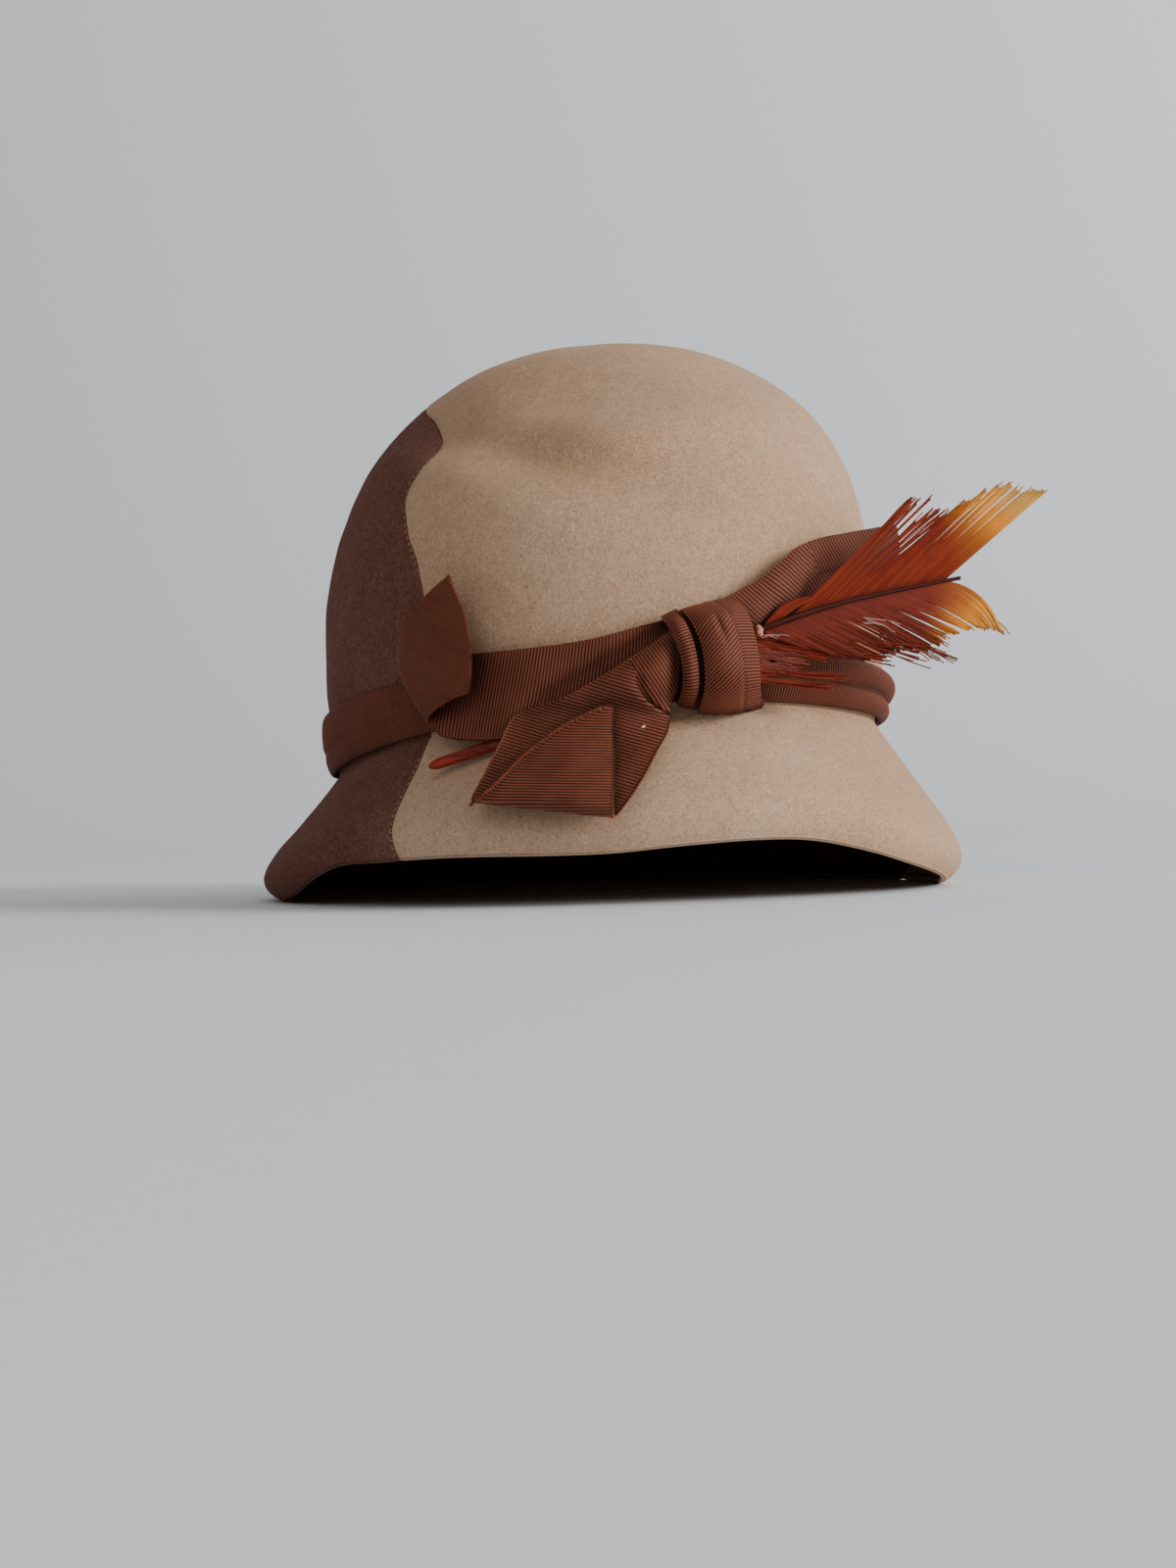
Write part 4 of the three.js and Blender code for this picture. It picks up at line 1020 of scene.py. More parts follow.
def felt_piece(name, way, material, slot):
    """One felt: its outer face, its inside, and the rounded walls along its open edges."""
    bm = felt_half(way)
    outer = np.array([vert.co for vert in bm.verts])
    out = np.array([vert.normal for vert in bm.verts])
    if (out * (outer - np.array(CROWN_HEART))).sum() < 0:
        bmesh.ops.reverse_faces(bm, faces=bm.faces)
        out = -out
    quads = [[v.index for v in face.verts] for face in bm.faces if len(face.verts) == 4]
    triangles = [[v.index for v in face.verts] for face in bm.faces if len(face.verts) == 3]
    edges = [(loop.vert.index, loop.link_loop_next.vert.index)
             for edge in bm.edges if len(edge.link_loops) == 1 for loop in edge.link_loops]
    bm.free()
    quads, triangles, edges = np.array(quads), np.array(triangles), np.array(edges)

    from_seam = np.abs(outer[:, 1] - seam_y(outer[:, 2]))
    above_rim = outer[:, 2] - brim_edge("rise", np.arctan2(outer[:, 0], -outer[:, 1]))
    wave = WAVY * sum(row["share"] * unevenness(outer, row["seed"], row["waves"], row["shortest"],
                                                row["longest"]) for row in WAVES)
    wave *= smoothstep(above_rim, 0, WAVES_START)
    sunk = SEAM_SUNK * np.exp(-((from_seam / SEAM_SPREAD) ** 2))
    face = outer + out * (wave - sunk)[:, None]
    inside = outer + out * (WAVES_INSIDE * wave - FELT)[:, None]

    # The rows that close each open edge, bulging away from the sheet.
    rim = np.unique(edges)
    ahead = np.zeros_like(outer)
    for a, b in edges:
        side = np.cross(outer[b] - outer[a], out[a])
        ahead[a] += side
        ahead[b] += side
    bulge = np.where(above_rim[rim] < BRIM_CUT, BRIM_ROUND, SEAM_ROUND)[:, None]
    turns = np.linspace(0, np.pi, EDGE_TURNS)[1:-1]
    rows = [face[rim] * (1 + math.cos(a)) / 2 + inside[rim] * (1 - math.cos(a)) / 2
            + unit(ahead[rim]) * bulge * math.sin(a) for a in turns]
    count = len(outer)
    slot_of = {v: k for k, v in enumerate(rim)}
    a, b = (np.array([slot_of[v] for v in edges[:, k]]) for k in (0, 1))
    ladder = [(edges[:, 0], edges[:, 1])]
    ladder += [(2 * count + k * len(rim) + a, 2 * count + k * len(rim) + b) for k in range(len(rows))]
    ladder.append((edges[:, 0] + count, edges[:, 1] + count))
    wall = np.vstack([np.stack([q[0], p[0], p[1], q[1]], -1) for p, q in zip(ladder, ladder[1:])])
    vertices = np.vstack([face, inside, *rows])
    vertices[:, 2] = vertices[:, 2].clip(0)
    # cut marks the rows round the brim's cut edge, which the felt's material paints paler as a painted
    # highlight.
    cut = np.zeros(len(vertices))
    cut[2 * count:] = np.tile(above_rim[rim] < BRIM_CUT, len(rows))
    faces = [quads, quads[:, ::-1] + count, wall, triangles, triangles[:, ::-1] + count]
    mesh = plain_mesh(name, to_metres(vertices, bow=False), faces, {"cut": cut})
    return finish_piece(name, outward(mesh), material, slot, [name])


def outward(mesh):
    """Turns a closed mesh's faces out."""
    bm = bmesh.new()
    bm.from_mesh(mesh)
    if bm.calc_volume(signed=True) < 0:
        bmesh.ops.reverse_faces(bm, faces=bm.faces)
    bm.to_mesh(mesh)
    bm.free()
    return mesh


STITCH_APART = 1.25
STITCH_LONG = 1.15
STITCH_THICK = 0.17
STITCH_LEAN = 0.55  # forwards or back, by turns, for each millimetre across
STITCH_PROUD = 0.02  # how far they stand out of the sunk seam
SEAM_MARGIN = 1.0  # the stitches and the seam's line stop this far from their ends
SEAM_STEPS = (1200, 721)  # heights, and bearings on each side, at which the seam is looked for


def seam_stitches():
    """Small slanting stitches that draw the two felts together, all along the seam."""
    line = seam_path()
    far = far_along(line)
    at = np.arange(SEAM_MARGIN, far[-1] - SEAM_MARGIN, STITCH_APART)
    points = picked(at, far, line)
    forward = unit(np.gradient(points, axis=0))
    out = unit(points - np.array(CROWN_HEART) * np.clip(points[:, 2:] / CROWN_HEART[2], 0, 1))
    across = unit(np.cross(forward, out))
    lean = np.where(np.arange(len(at)) % 2, STITCH_LEAN, -STITCH_LEAN)[:, None]
    points = points - out * (SEAM_SUNK - STITCH_PROUD)
    return strewn("seam_stitches", points, across + forward * lean, np.full(len(at), STITCH_LONG),
                  STITCH_THICK, CREAM_THREAD, "cream_felt", blunt=0.8, bow=False)


def seam_path():
    """The seam's line over the hat, from one side of the brim to the other."""
    halves = []
    heights, bearings = SEAM_STEPS
    for side in (1, -1):
        z = np.linspace(0.5, TOP_Z - 0.4, heights)
        b = np.linspace(0, np.pi, bearings)[None, :]
        ring = dented(smooth_felt(side * b, z[:, None]))
        past = ring[..., 1] - seam_y(ring[..., 2])
        k = np.argmax(past > 0, axis=1)
        turned = side * b[0, k]
        above = z > brim_edge("rise", turned) + SEAM_MARGIN
        found = (past.max(axis=1) > 0) & (k > 0) & above
        rows = np.nonzero(found)[0]
        k = k[rows]
        share = past[rows, k - 1] / (past[rows, k - 1] - past[rows, k])
        halves.append(ring[rows, k - 1] * (1 - share[:, None]) + ring[rows, k] * share[:, None])
    return np.vstack([halves[0], halves[1][::-1]])


# ---- ribbon ----------------------------------------------------------------------------------

def ribbed(run):
    """How far up a rib is, 0 in the valley and 1 on its back, at a distance along the ribbon."""
    return np.abs(np.sin(np.pi * run / RIB)) ** RIB_ROUND


def ribbon_face(rows):
    """The ribbon's middle surface through its rows: t along it and c across it, both 0 to 1."""
    edges = [np.array([on_bow(*row[side]) for row in rows]) for side in ("top", "mid", "low")]

    def surface(t, c):
        t, c = np.broadcast_arrays(t, c)
        top, mid, low = (through(edge, t) for edge in edges)
        bulge = 2 * mid - 0.5 * top - 0.5 * low
        return bent(top, bulge, low, c[..., None])

    return surface


RIB_HALVINGS = 26  # rounds of halving, when a rib's place in a table is looked for
RUN_STEPS = 4001


def run_at(rows, side, t):
    """How far along the ribbon its selvedge is at t: side 0 the top one, 1 the low one."""
    table = [{"t": k / (len(rows) - 1), "run": row["run"][side]} for k, row in enumerate(rows)]
    return along(table, "run", "t", t)


def t_at(rows, run, c):
    """Where along the table each point is, for ribs that fan: run is along the ribbon, c across."""
    t = np.linspace(0, 1, RUN_STEPS)
    top, low = run_at(rows, 0, t), run_at(rows, 1, t)
    short_of, past = np.zeros(c.shape), np.ones(c.shape)
    for _ in range(RIB_HALVINGS):
        middle = (short_of + past) / 2
        short = (1 - c) * np.interp(middle, t, top) + c * np.interp(middle, t, low) < run
        short_of, past = np.where(short, middle, short_of), np.where(short, past, middle)
    return (short_of + past) / 2


def cloth_piece(name, middle, run, wide, replaces, fray=None):
    """A closed ribbed cloth from a grid of its middle surface: rows along it, columns across."""
    rows, columns = run.shape
    crossways = np.gradient(middle, axis=1)
    out = unit(np.cross(np.gradient(middle, axis=0), crossways))
    side = unit(crossways)
    fray = np.zeros_like(run) if fray is None else fray
    relief = RIB_HIGH * ribbed(run) * (1 - 0.5 * fray)
    loop = SCALLOP * (ribbed(run) - SCALLOP_FROM)
    shaped, selvedge = middle.copy(), np.zeros_like(run)
    for column, way in ((0, -1), (-1, 1)):
        shaped[:, column] += way * side[:, column] * loop[:, column, None]
        selvedge[:, column] = 1
    front = shaped + out * (RIBBON / 2 + relief)[..., None]
    back = shaped - out * (RIBBON / 2 + relief)[..., None]
    edge = np.concatenate([np.arange(columns), columns * np.arange(1, rows) + columns - 1,
                           columns * (rows - 1) + np.arange(columns - 2, -1, -1),
                           columns * np.arange(rows - 2, 0, -1)])
    points = shaped.reshape(-1, 3)
    ahead = points[edge] - points[inner_neighbour(edge, rows, columns)]
    rim = points[edge] + unit(ahead) * RIBBON * EDGE_ROUND
    count = rows * columns
    after = np.roll(np.arange(len(edge)), -1)
    ring = 2 * count + np.arange(len(edge))
    walls = [np.stack([edge, edge[after], ring[after], ring], -1)[:, ::-1],
             np.stack([ring, ring[after], edge[after] + count, edge + count], -1)[:, ::-1]]
    faces = grid_faces(rows, columns)
    vertices = np.vstack([front.reshape(-1, 3), back.reshape(-1, 3), rim])

    def everywhere(values):
        values = values.ravel()
        return np.concatenate([values, values, values[edge]])

    flat = np.stack([everywhere(run), everywhere(wide)], -1) * UV_FOR_MM
    mesh = plain_mesh(name, to_metres(vertices), [np.vstack([faces, faces[:, ::-1] + count, *walls])],
                      {"rib": everywhere(ribbed(run)), "fray": everywhere(fray),
                       "selvedge": everywhere(selvedge)}, flat)
    return finish_piece(name, outward(mesh), GROSGRAIN, "grosgrain", replaces)


def inner_neighbour(edge, rows, columns):
    """For each vertex round a grid's edge, the one a step further in."""
    r, c = np.divmod(edge, columns)
    return r.clip(1, rows - 2) * columns + c.clip(1, columns - 2)


def across_of(middle, wide):
    """How far across the ribbon each column of a grid lies, in mm."""
    steps = np.linalg.norm(np.diff(middle, axis=1), axis=-1)
    total = np.concatenate([np.zeros((len(middle), 1)), np.cumsum(steps, axis=1)], axis=1)
    return total / total[:, -1:].clip(1e-6) * wide


STEPS_PER_RIB = 6
UPPER_COLUMNS = 60
UPPER_WIDE = 26
TIP_LEFT = 0.35  # how much of the upper tail's point is cut off
SLIT = {"x": 19, "z": 79, "slope": 0.53, "wide": 4, "deep": 3.2}  # where it dips beside the lower tail
SLIT_X = (-34, -16)  # between these it comes to its full depth
SLIT_ROWS = (5, 6)  # and between these rows it ends
FLAP_FROM = 6.9  # the row past which the upper tail has rolled over
FLAP_RIBS_SLANT = math.radians(34)
FLAP_RIBS_CLOSER = 1.45  # the flap stands slanting, which brings its ribs together


def upper_tail():
    """Runs left from the knot, rolls over at its end and stands up again as a pointed flap."""
    rows = UPPER_TAIL
    last = len(rows) - 1
    surface = ribbon_face(rows)
    far_top, far_low = rows[-1]["run"]
    run = np.arange(0, far_top - TIP_LEFT, RIB / STEPS_PER_RIB)[:, None]
    widest = np.clip((far_top - run) / (far_top - far_low), 0, 1)
    c = widest * np.linspace(0, 1, UPPER_COLUMNS)
    t = t_at(rows, run, c)
    past_cut = (far_top - (far_top - far_low) * c) - run
    fray = np.exp(-((past_cut / FRAY_WIDE) ** 2))
    middle = rumpled(surface(t, c), seed=21, high=0.35)
    x, z = middle[..., 0], middle[..., 2]
    above_slit = z - (SLIT["z"] + (x - SLIT["x"]) * SLIT["slope"])
    dip = SLIT["deep"] * np.exp(-((above_slit / SLIT["wide"]) ** 2)) * smoothstep(x, *SLIT_X)
    middle = moved_in(middle, dip * smoothstep(-t, -SLIT_ROWS[1] / last, -SLIT_ROWS[0] / last))
    slanting = z * math.cos(FLAP_RIBS_SLANT) + x * math.sin(FLAP_RIBS_SLANT)
    run = np.where(t * last > FLAP_FROM, slanting * FLAP_RIBS_CLOSER, run)
    piece = cloth_piece("bow_upper_tail", middle, run, c * UPPER_WIDE, ["bow_upper_tail"], fray)
    return piece, surface(np.ones(UPPER_COLUMNS), np.linspace(0, 1, UPPER_COLUMNS))


def rumpled(points, seed, high):
    """Points with a soft unevenness, towards and away from the bow's front."""
    return moved_in(points, high * unevenness(points, seed, waves=8, shortest=9, longest=26))


LOWER_STEPS = (540, 74)  # along the lower tail and across it
LOWER_RIBS_SLANT = math.radians(18)
PUFF_RIBS_SLANT = math.radians(58)
CREASE = {"row": 1.5, "bow": 0.9, "wide": 0.16, "deep": 1.3}  # below its puff, in rows but for the depth
FOLD_ROWS = (7.0, 7.6)  # its foot is folded between these rows
TURNED_FROM = 7.3
CUT_FROM = 7.75
TURNED_SLOPE = 0.04  # how far its ribs fall to the right there
TURNED_RIBS_CLOSER = 1.22  # as on the upper tail's flap
HEM_DRAWN = {"up": 0.9, "wide": 1.5}  # how far the loose weave along the hem has pulled the ribs up


def lower_tail():
    """Puffs out beside the knot, creases, falls to a fold at its foot and turns up, cut on a slant."""
    surface = ribbon_face(LOWER_TAIL)
    share = np.linspace(0, 1, 2001)
    far = far_along(surface(share, np.full(share.shape, 0.5)))
    t = np.interp(np.linspace(0, far[-1], LOWER_STEPS[0]), far, share)[:, None]
    t, c = np.broadcast_arrays(t, np.linspace(0, 1, LOWER_STEPS[1])[None, :])
    middle = surface(t, c)
    x, z = middle[..., 0], middle[..., 2]
    row = t * (len(LOWER_TAIL) - 1)
    from_cut = np.linalg.norm(middle - middle[:, :1], axis=-1)
    puffed, hanging = (-x * math.sin(slant) - z * math.cos(slant)
                       for slant in (PUFF_RIBS_SLANT, LOWER_RIBS_SLANT))
    turned_up = (-z - TURNED_SLOPE * x) * TURNED_RIBS_CLOSER
    turned_up = turned_up + HEM_DRAWN["up"] * np.exp(-from_cut / HEM_DRAWN["wide"])
    past_crease = row - CREASE["row"] - CREASE["bow"] * c**2
    run = np.where(past_crease < 0, puffed, np.where(row < TURNED_FROM, hanging, turned_up))
    sunk = CREASE["deep"] * np.exp(-((past_crease / CREASE["wide"]) ** 2)) * smoothstep(c, 0.1, 0.5)
    fray = smoothstep(row, *FOLD_ROWS) * np.exp(-((from_cut / FRAY_WIDE) ** 2))
    middle = moved_in(rumpled(middle, seed=22, high=0.3), sunk)
    piece = cloth_piece("bow_lower_tail", middle, run, c * RIBBON_WIDE, ["bow_lower_tail"], fray)
    return piece, middle[row[:, 0] > CUT_FROM, 0]


def panel(rows, t_range, c_range, fine, slant=0.0, sunk=None):
    """A fine grid over part of a ribbon's surface: its points, how far along and how far across.

    c_range gives the two sides that it keeps to, each at the start and at the end of t_range, and
    slant how far its ribs climb for each millimetre across.
    """
    surface = ribbon_face(rows)
    t = np.linspace(*t_range, fine[0])[:, None]
    share = np.linspace(0, 1, fine[1])[None, :]
    first, last = (np.interp(t, (0, 1), ends) for ends in c_range)
    c = first + (last - first) * share
    t = np.broadcast_to(t, c.shape)
    middle = surface(t, c)
    run = (1 - c) * run_at(rows, 0, t) + c * run_at(rows, 1, t)
    wide = across_of(middle, np.linalg.norm(middle[:, -1:] - middle[:, :1], axis=-1))
    if sunk is not None:
        middle = moved_in(middle, sunk(t, share + 0 * c))
    return middle, (run + slant * wide) / math.hypot(1, slant), wide


# A lengthways fold in the right tail: a step down from its share of the width on, and how it slants.
RIGHT_FOLD = {"deep": 2.0, "raised": 0.8, "from": 0.42, "to": 0.5, "slants": 0.1}
LAP = {"proud": 2.0, "swell": 1.1, "round": 0.7}


def right_tail():
    """Goes up from the knot to the right, and a fold of it laps its own left part."""
    def step(t, share):
        slant = RIGHT_FOLD["slants"] * t
        down = smoothstep(share, RIGHT_FOLD["from"] + slant, RIGHT_FOLD["to"] + slant)
        return RIGHT_FOLD["deep"] * down - RIGHT_FOLD["raised"]

    def lapped(t, share):
        return -LAP["proud"] - LAP["swell"] * np.sin(np.pi * share) ** LAP["round"]

    under, run, wide = panel(RIGHT_TAIL, t_range=(0, 1), c_range=((0, 0), (1, 1)), fine=(380, 60),
                             slant=-0.3, sunk=step)
    piece = cloth_piece("bow_right_tail", rumpled(under, seed=23, high=0.3), run, wide,
                        ["bow_right_tail"])
    lap, run, wide = panel(RIGHT_TAIL, t_range=(0, 0.52), c_range=((0, 0), (1.15, 0.02)),
                           fine=(240, 44), slant=-0.55, sunk=lapped)
    return [piece, cloth_piece("bow_right_lap", rumpled(lap, seed=24, high=0.2), run, wide, [])]


DIMPLE = {"t": 0.34, "long": 0.07, "share": 0.62, "wide": 0.09, "deep": 1.1}  # where the wrap is pressed
WRAP = {"swell": 0.5, "tuck": 1.0, "tuck_from": 0.86}
STRIP = {"deep": 1.5, "least": 0.4, "until": 0.5}  # how deep the strip goes in under the wrap
FOOT = {"deep": 2.6, "swell": 0.8}
# How the core keeps inside the pleat and the wrap: shares of their lifts, and how far in it is.
CORE = {"lifts": (0.72, 0.68, 0.7), "left": 0.8, "middle": 2, "right": 3, "down": 1}


def knot():
    """A narrow pleat, then the wrap laid on a slant over a straight strip, all over a dark core."""
    def wrapped(t, share):
        along_it, across_it = (t - DIMPLE["t"]) / DIMPLE["long"], (share - DIMPLE["share"]) / DIMPLE["wide"]
        return (WRAP["tuck"] * smoothstep(share, WRAP["tuck_from"], 1.0)
                - WRAP["swell"] * np.sin(np.pi * share)
                + DIMPLE["deep"] * np.exp(-(along_it**2) - across_it**2))

    def under_wrap(t, share):
        return STRIP["deep"] * (1 - smoothstep(share, 0.0, STRIP["until"])) + STRIP["least"]

    def under_all(t, share):
        return FOOT["deep"] - FOOT["swell"] * np.sin(np.pi * share)

    top, mid, low = CORE["lifts"]
    core_rows = [{"top": (left["top"][0] + CORE["left"], left["top"][1] - CORE["down"],
                          left["top"][2] * top),
                  "mid": (left["low"][0] + CORE["middle"], (left["mid"][1] + right["mid"][1]) / 2,
                          right["mid"][2] * mid),
                  "low": (right["low"][0] - CORE["right"], right["low"][1] - CORE["down"],
                          right["low"][2] * low),
                  "run": right["run"]} for left, right in zip(KNOT_PLEAT, KNOT_WRAP)]
    pleat = panel(KNOT_PLEAT, t_range=(0, 1), c_range=((0.04, 0.04), (0.92, 0.92)), fine=(300, 18))
    wrap = panel(KNOT_WRAP, t_range=(0, 1), c_range=((0, 0), (0.66, 0.76)), fine=(330, 44),
                 slant=0.84, sunk=wrapped)
    strip = panel(KNOT_WRAP, t_range=(0, 0.86), c_range=((0.5, 0.62), (1, 1)), fine=(330, 30),
                  sunk=under_wrap)
    # The foot's ribs run across the others, so its two measures change places below.
    foot, foot_run, foot_wide = panel(KNOT_WRAP[5:], t_range=(0.3, 1), c_range=((0.6, 0.6), (1.06, 1.06)),
                                      fine=(60, 60), sunk=under_all)
    core = panel(core_rows, t_range=(0.04, 0.96), c_range=((0, 0), (1, 1)), fine=(200, 24))
    return [cloth_piece("knot_pleat", *pleat, ["knot_pleat"]),
            cloth_piece("knot_wrap", *wrap, ["knot_wrap"]),
            cloth_piece("knot_strip", *strip, []),
            cloth_piece("knot_foot", foot, foot_wide, foot_run, []),
            cloth_piece("knot_core", *core, [])]


# ---- hat band --------------------------------------------------------------------------------

BAND_OFF = 0.7  # how far the band stands off the felt
BAND_IN = 0.5  # and its inner face
BAND_SKIN = 1.0
BAND_UP = {"start": 6, "foot": 0.6}  # over the join, where its length is measured and where it starts
BAND_STEPS = 4  # vertices for each rib
BAND_FOLDS = np.array([0, 0.015, 0.04, 0.08, 0.13, 0.19, 0.25, 0.3, 0.34, 0.37, 0.39, 0.41, 0.43,
                       0.45, 0.47, 0.5, 0.55, 0.61, 0.67, 0.74, 0.81, 0.87, 0.92, 0.96, 0.985, 1])
BAND_INNER = {"up": (0.95, 0.5, 0.05), "map": (13.0, 7.0, 1.0)}  # its inner face, from the top down
BAND_MAP = 14  # how much of the flat map its outer face takes, in mm
TWO_ROLLS = ((-40, 10), (178, 150))  # bearings between which it goes from one roll to two, and back
BAND_CREASE = {"up": 0.42, "sway": 0.04, "wobble": 0.02}  # between its two rolls
ROLL_ROUND = 0.6
LOWER_ROLL = 0.85  # how full the lower roll is, for an upper one of 1
BROAD = {"rise": 0.8, "round": 0.5}  # the single roll
BROAD_DIP = {"deep": 0.16, "up": 0.36, "wide": 0.07}
SLACK = {"sway": 0.18, "wobble": 0.1}  # how uneven its fullness is round the hat
FULL_LEAST = 0.2
RIBS_IN_CREASE = 0.4  # how much of the ribs' height is left where it is pressed flat


def hat_band():
    """A ribbon round the crown in two soft lengthwise rolls, with its ribs upright."""
    fine = np.linspace(0, 2 * np.pi, RUN_STEPS)
    length = far_along(smooth_felt(fine, around("join", fine) + BAND_UP["start"]))
    ribs = round(length[-1] / RIB)
    run = (np.arange(ribs * BAND_STEPS) * RIB / BAND_STEPS)[:, None]
    bearing = np.interp(run / (ribs * RIB) * length[-1], length, fine)
    up = BAND_FOLDS[None, :]
    crease = (BAND_CREASE["up"] + BAND_CREASE["sway"] * np.sin(2 * bearing + 0.6)
              + BAND_CREASE["wobble"] * np.sin(5 * bearing))
    share = np.where(up < crease, up / crease, (up - crease) / (1 - crease))
    rolls = np.sin(np.pi * share).clip(0) ** ROLL_ROUND * np.where(up < crease, LOWER_ROLL, 1.0)
    dip = BROAD_DIP["deep"] * np.exp(-(((up - BROAD_DIP["up"]) / BROAD_DIP["wide"]) ** 2))
    broad = np.sin(np.pi * up ** BROAD["rise"]).clip(0) ** BROAD["round"] - dip
    turned = np.degrees(np.mod(bearing + np.pi, 2 * np.pi) - np.pi)
    two = smoothstep(turned, *TWO_ROLLS[0]) * smoothstep(turned, *TWO_ROLLS[1])
    fold = broad + (rolls - broad) * two
    slack = 1 + SLACK["sway"] * np.sin(3 * bearing + 1) + SLACK["wobble"] * np.sin(7 * bearing)
    full = np.maximum(around("full", bearing), FULL_LEAST)
    pressed = RIBS_IN_CREASE + (1 - RIBS_IN_CREASE) * fold
    lift = BAND_OFF + BAND_SKIN + full * fold * slack + RIB_HIGH * ribbed(run) * pressed

    def laid(up, lift):
        foot = around("join", bearing) + BAND_UP["foot"]
        level = np.stack([np.sin(bearing), -np.cos(bearing), np.zeros_like(bearing)], -1)
        return smooth_felt(bearing, foot + around("band", bearing) * up) + level * lift[..., None]

    inner = np.array([BAND_INNER["up"]])
    inside = laid(inner, np.full((len(run), inner.size), BAND_IN))
    points = np.concatenate([laid(up, lift), inside], axis=1)
    rows, columns = points.shape[:2]
    first, last = np.arange(columns), (rows - 1) * columns + np.arange(columns)
    join = np.stack([last, first, np.roll(first, -1), np.roll(last, -1)], -1)
    height = np.concatenate([up * BAND_MAP + 0 * run,
                             np.broadcast_to(BAND_INNER["map"], (rows, inner.size))], axis=1)
    selvedge = np.zeros(columns)
    selvedge[[0, len(BAND_FOLDS) - 1]] = 1
    flat = np.stack([np.broadcast_to(run, (rows, columns)), height], -1).reshape(-1, 2) * UV_FOR_MM
    rib = np.broadcast_to(ribbed(run), (rows, columns))
    mesh = plain_mesh("hat_band", to_metres(points.reshape(-1, 3), bow=False),
                      [np.vstack([grid_faces(rows, columns, closed=True), join])],
                      {"rib": rib.ravel(), "fray": np.zeros(rows * columns),
                       "selvedge": np.tile(selvedge, rows)}, flat)
    return finish_piece("hat_band", outward(mesh), GROSGRAIN, "grosgrain", ["hat_band"])


# ---- feather ---------------------------------------------------------------------------------

def shaft_route(t):
    """The shaft's middle line, t from its bare tip to its broken end."""
    on_felt = np.array([on_bow(p["x"], p["z"], p["lift"]) for p in SHAFT_ON_FELT])
    free = np.array([in_feather(p["x"], p["z"]) for p in SHAFT_FREE])
    return through(np.vstack([on_felt, free]), t)


SHAFT_SIZE = (160, 20)  # rings, and vertices in each
QUILL_BLUNT = {"long": 4.2, "power": 2.2, "least": 0.03}  # how its bare end rounds off
GROOVE = {"deep": 0.22, "at": -0.2, "wide": 0.3, "from": (0.55, 0.65)}
SPLINTERS = (0.5, 0.4)  # how far the coarse and the fine ones stand out of its broken end
SHAFT_THINS = (0.3, 1.0)
SHAFT_BARE = (0.25, 0.5)  # the gloss of its bare end goes off between these


def feather_shaft():
    """A blunt glossy quill that thins to a grooved shaft, snapped off at its end."""
    count, sides = SHAFT_SIZE
    t = np.linspace(0, 1, count)
    middle = shaft_route(t)
    tip = (1 - far_along(middle) / QUILL_BLUNT["long"]).clip(0)
    blunt = np.sqrt(np.clip(1 - tip ** QUILL_BLUNT["power"], QUILL_BLUNT["least"], 1))
    r = blunt * (QUILL_R + (RACHIS_R - QUILL_R) * smoothstep(t, *SHAFT_THINS))
    angle = np.linspace(0, 2 * np.pi, sides, endpoint=False)
    across = np.exp(-((np.cos(angle) - GROOVE["at"]) / GROOVE["wide"]) ** 2)
    groove = 1 - GROOVE["deep"] * smoothstep(t, *GROOVE["from"])[:, None] * across
    rings, forward, faces = tube(middle, r[:, None] * groove, guide=(0, 0, 1))
    splinter = SPLINTERS[0] * np.sin(3 * angle + 1) + SPLINTERS[1] * np.sin(7 * angle)
    rings[-1] += forward[-1] * splinter[:, None]
    points = np.vstack([rings.reshape(-1, 3), middle[:1] - forward[:1] * 0.1, middle[-1:]])
    bare = np.append(np.repeat(1 - smoothstep(t, *SHAFT_BARE), sides), [1, 0])
    mesh = plain_mesh("feather_shaft", to_metres(points), faces, {"bare": bare})
    return finish_piece("feather_shaft", outward(mesh), QUILL, "quill", ["feather_shaft"])


def shaft_point(x):
    """The shaft's place in the feather's plane at a given x."""
    route = shaft_route(np.linspace(0, 1, 4000))
    return np.stack([x, np.interp(x, route[:, 0], route[:, 2])], -1)


def noted(floats, **values):
    """Adds one barb's values, each the same all along it or one for each point."""
    for key, value in values.items():
        floats.setdefault(key, []).append(value + np.zeros(BARB_STEPS))


def blades(name, lines, floats, replaces=()):
    """A piece of thin lapping blades, one along each line of points, with values along them."""
    count, size = len(lines), len(lines[0])
    points = to_metres(np.array(lines).reshape(-1, 3)).astype(np.float32)
    mesh = bpy.data.meshes.new(name + "_lines")
    mesh.vertices.add(count * size)
    mesh.vertices.foreach_set("co", points.ravel())
    first = (np.arange(count)[:, None] * size + np.arange(size - 1)).ravel()
    mesh.edges.add(len(first))
    mesh.edges.foreach_set("vertices", np.stack([first, first + 1], -1).astype(np.int32).ravel())
    for key, values in floats.items():
        layer = mesh.attributes.new(key, "FLOAT", "POINT")
        layer.data.foreach_set("value", np.array(values, np.float32).ravel())
    mesh.update()
    made = grown(name, mesh, BARBS, {"Width": BARB_WIDE * MM, "Thickness": BARB_THICK * MM,
                                     "Shingle": SHINGLE, "Finish": VANE})
    return finish_piece(name, made, VANE, "vane", replaces)


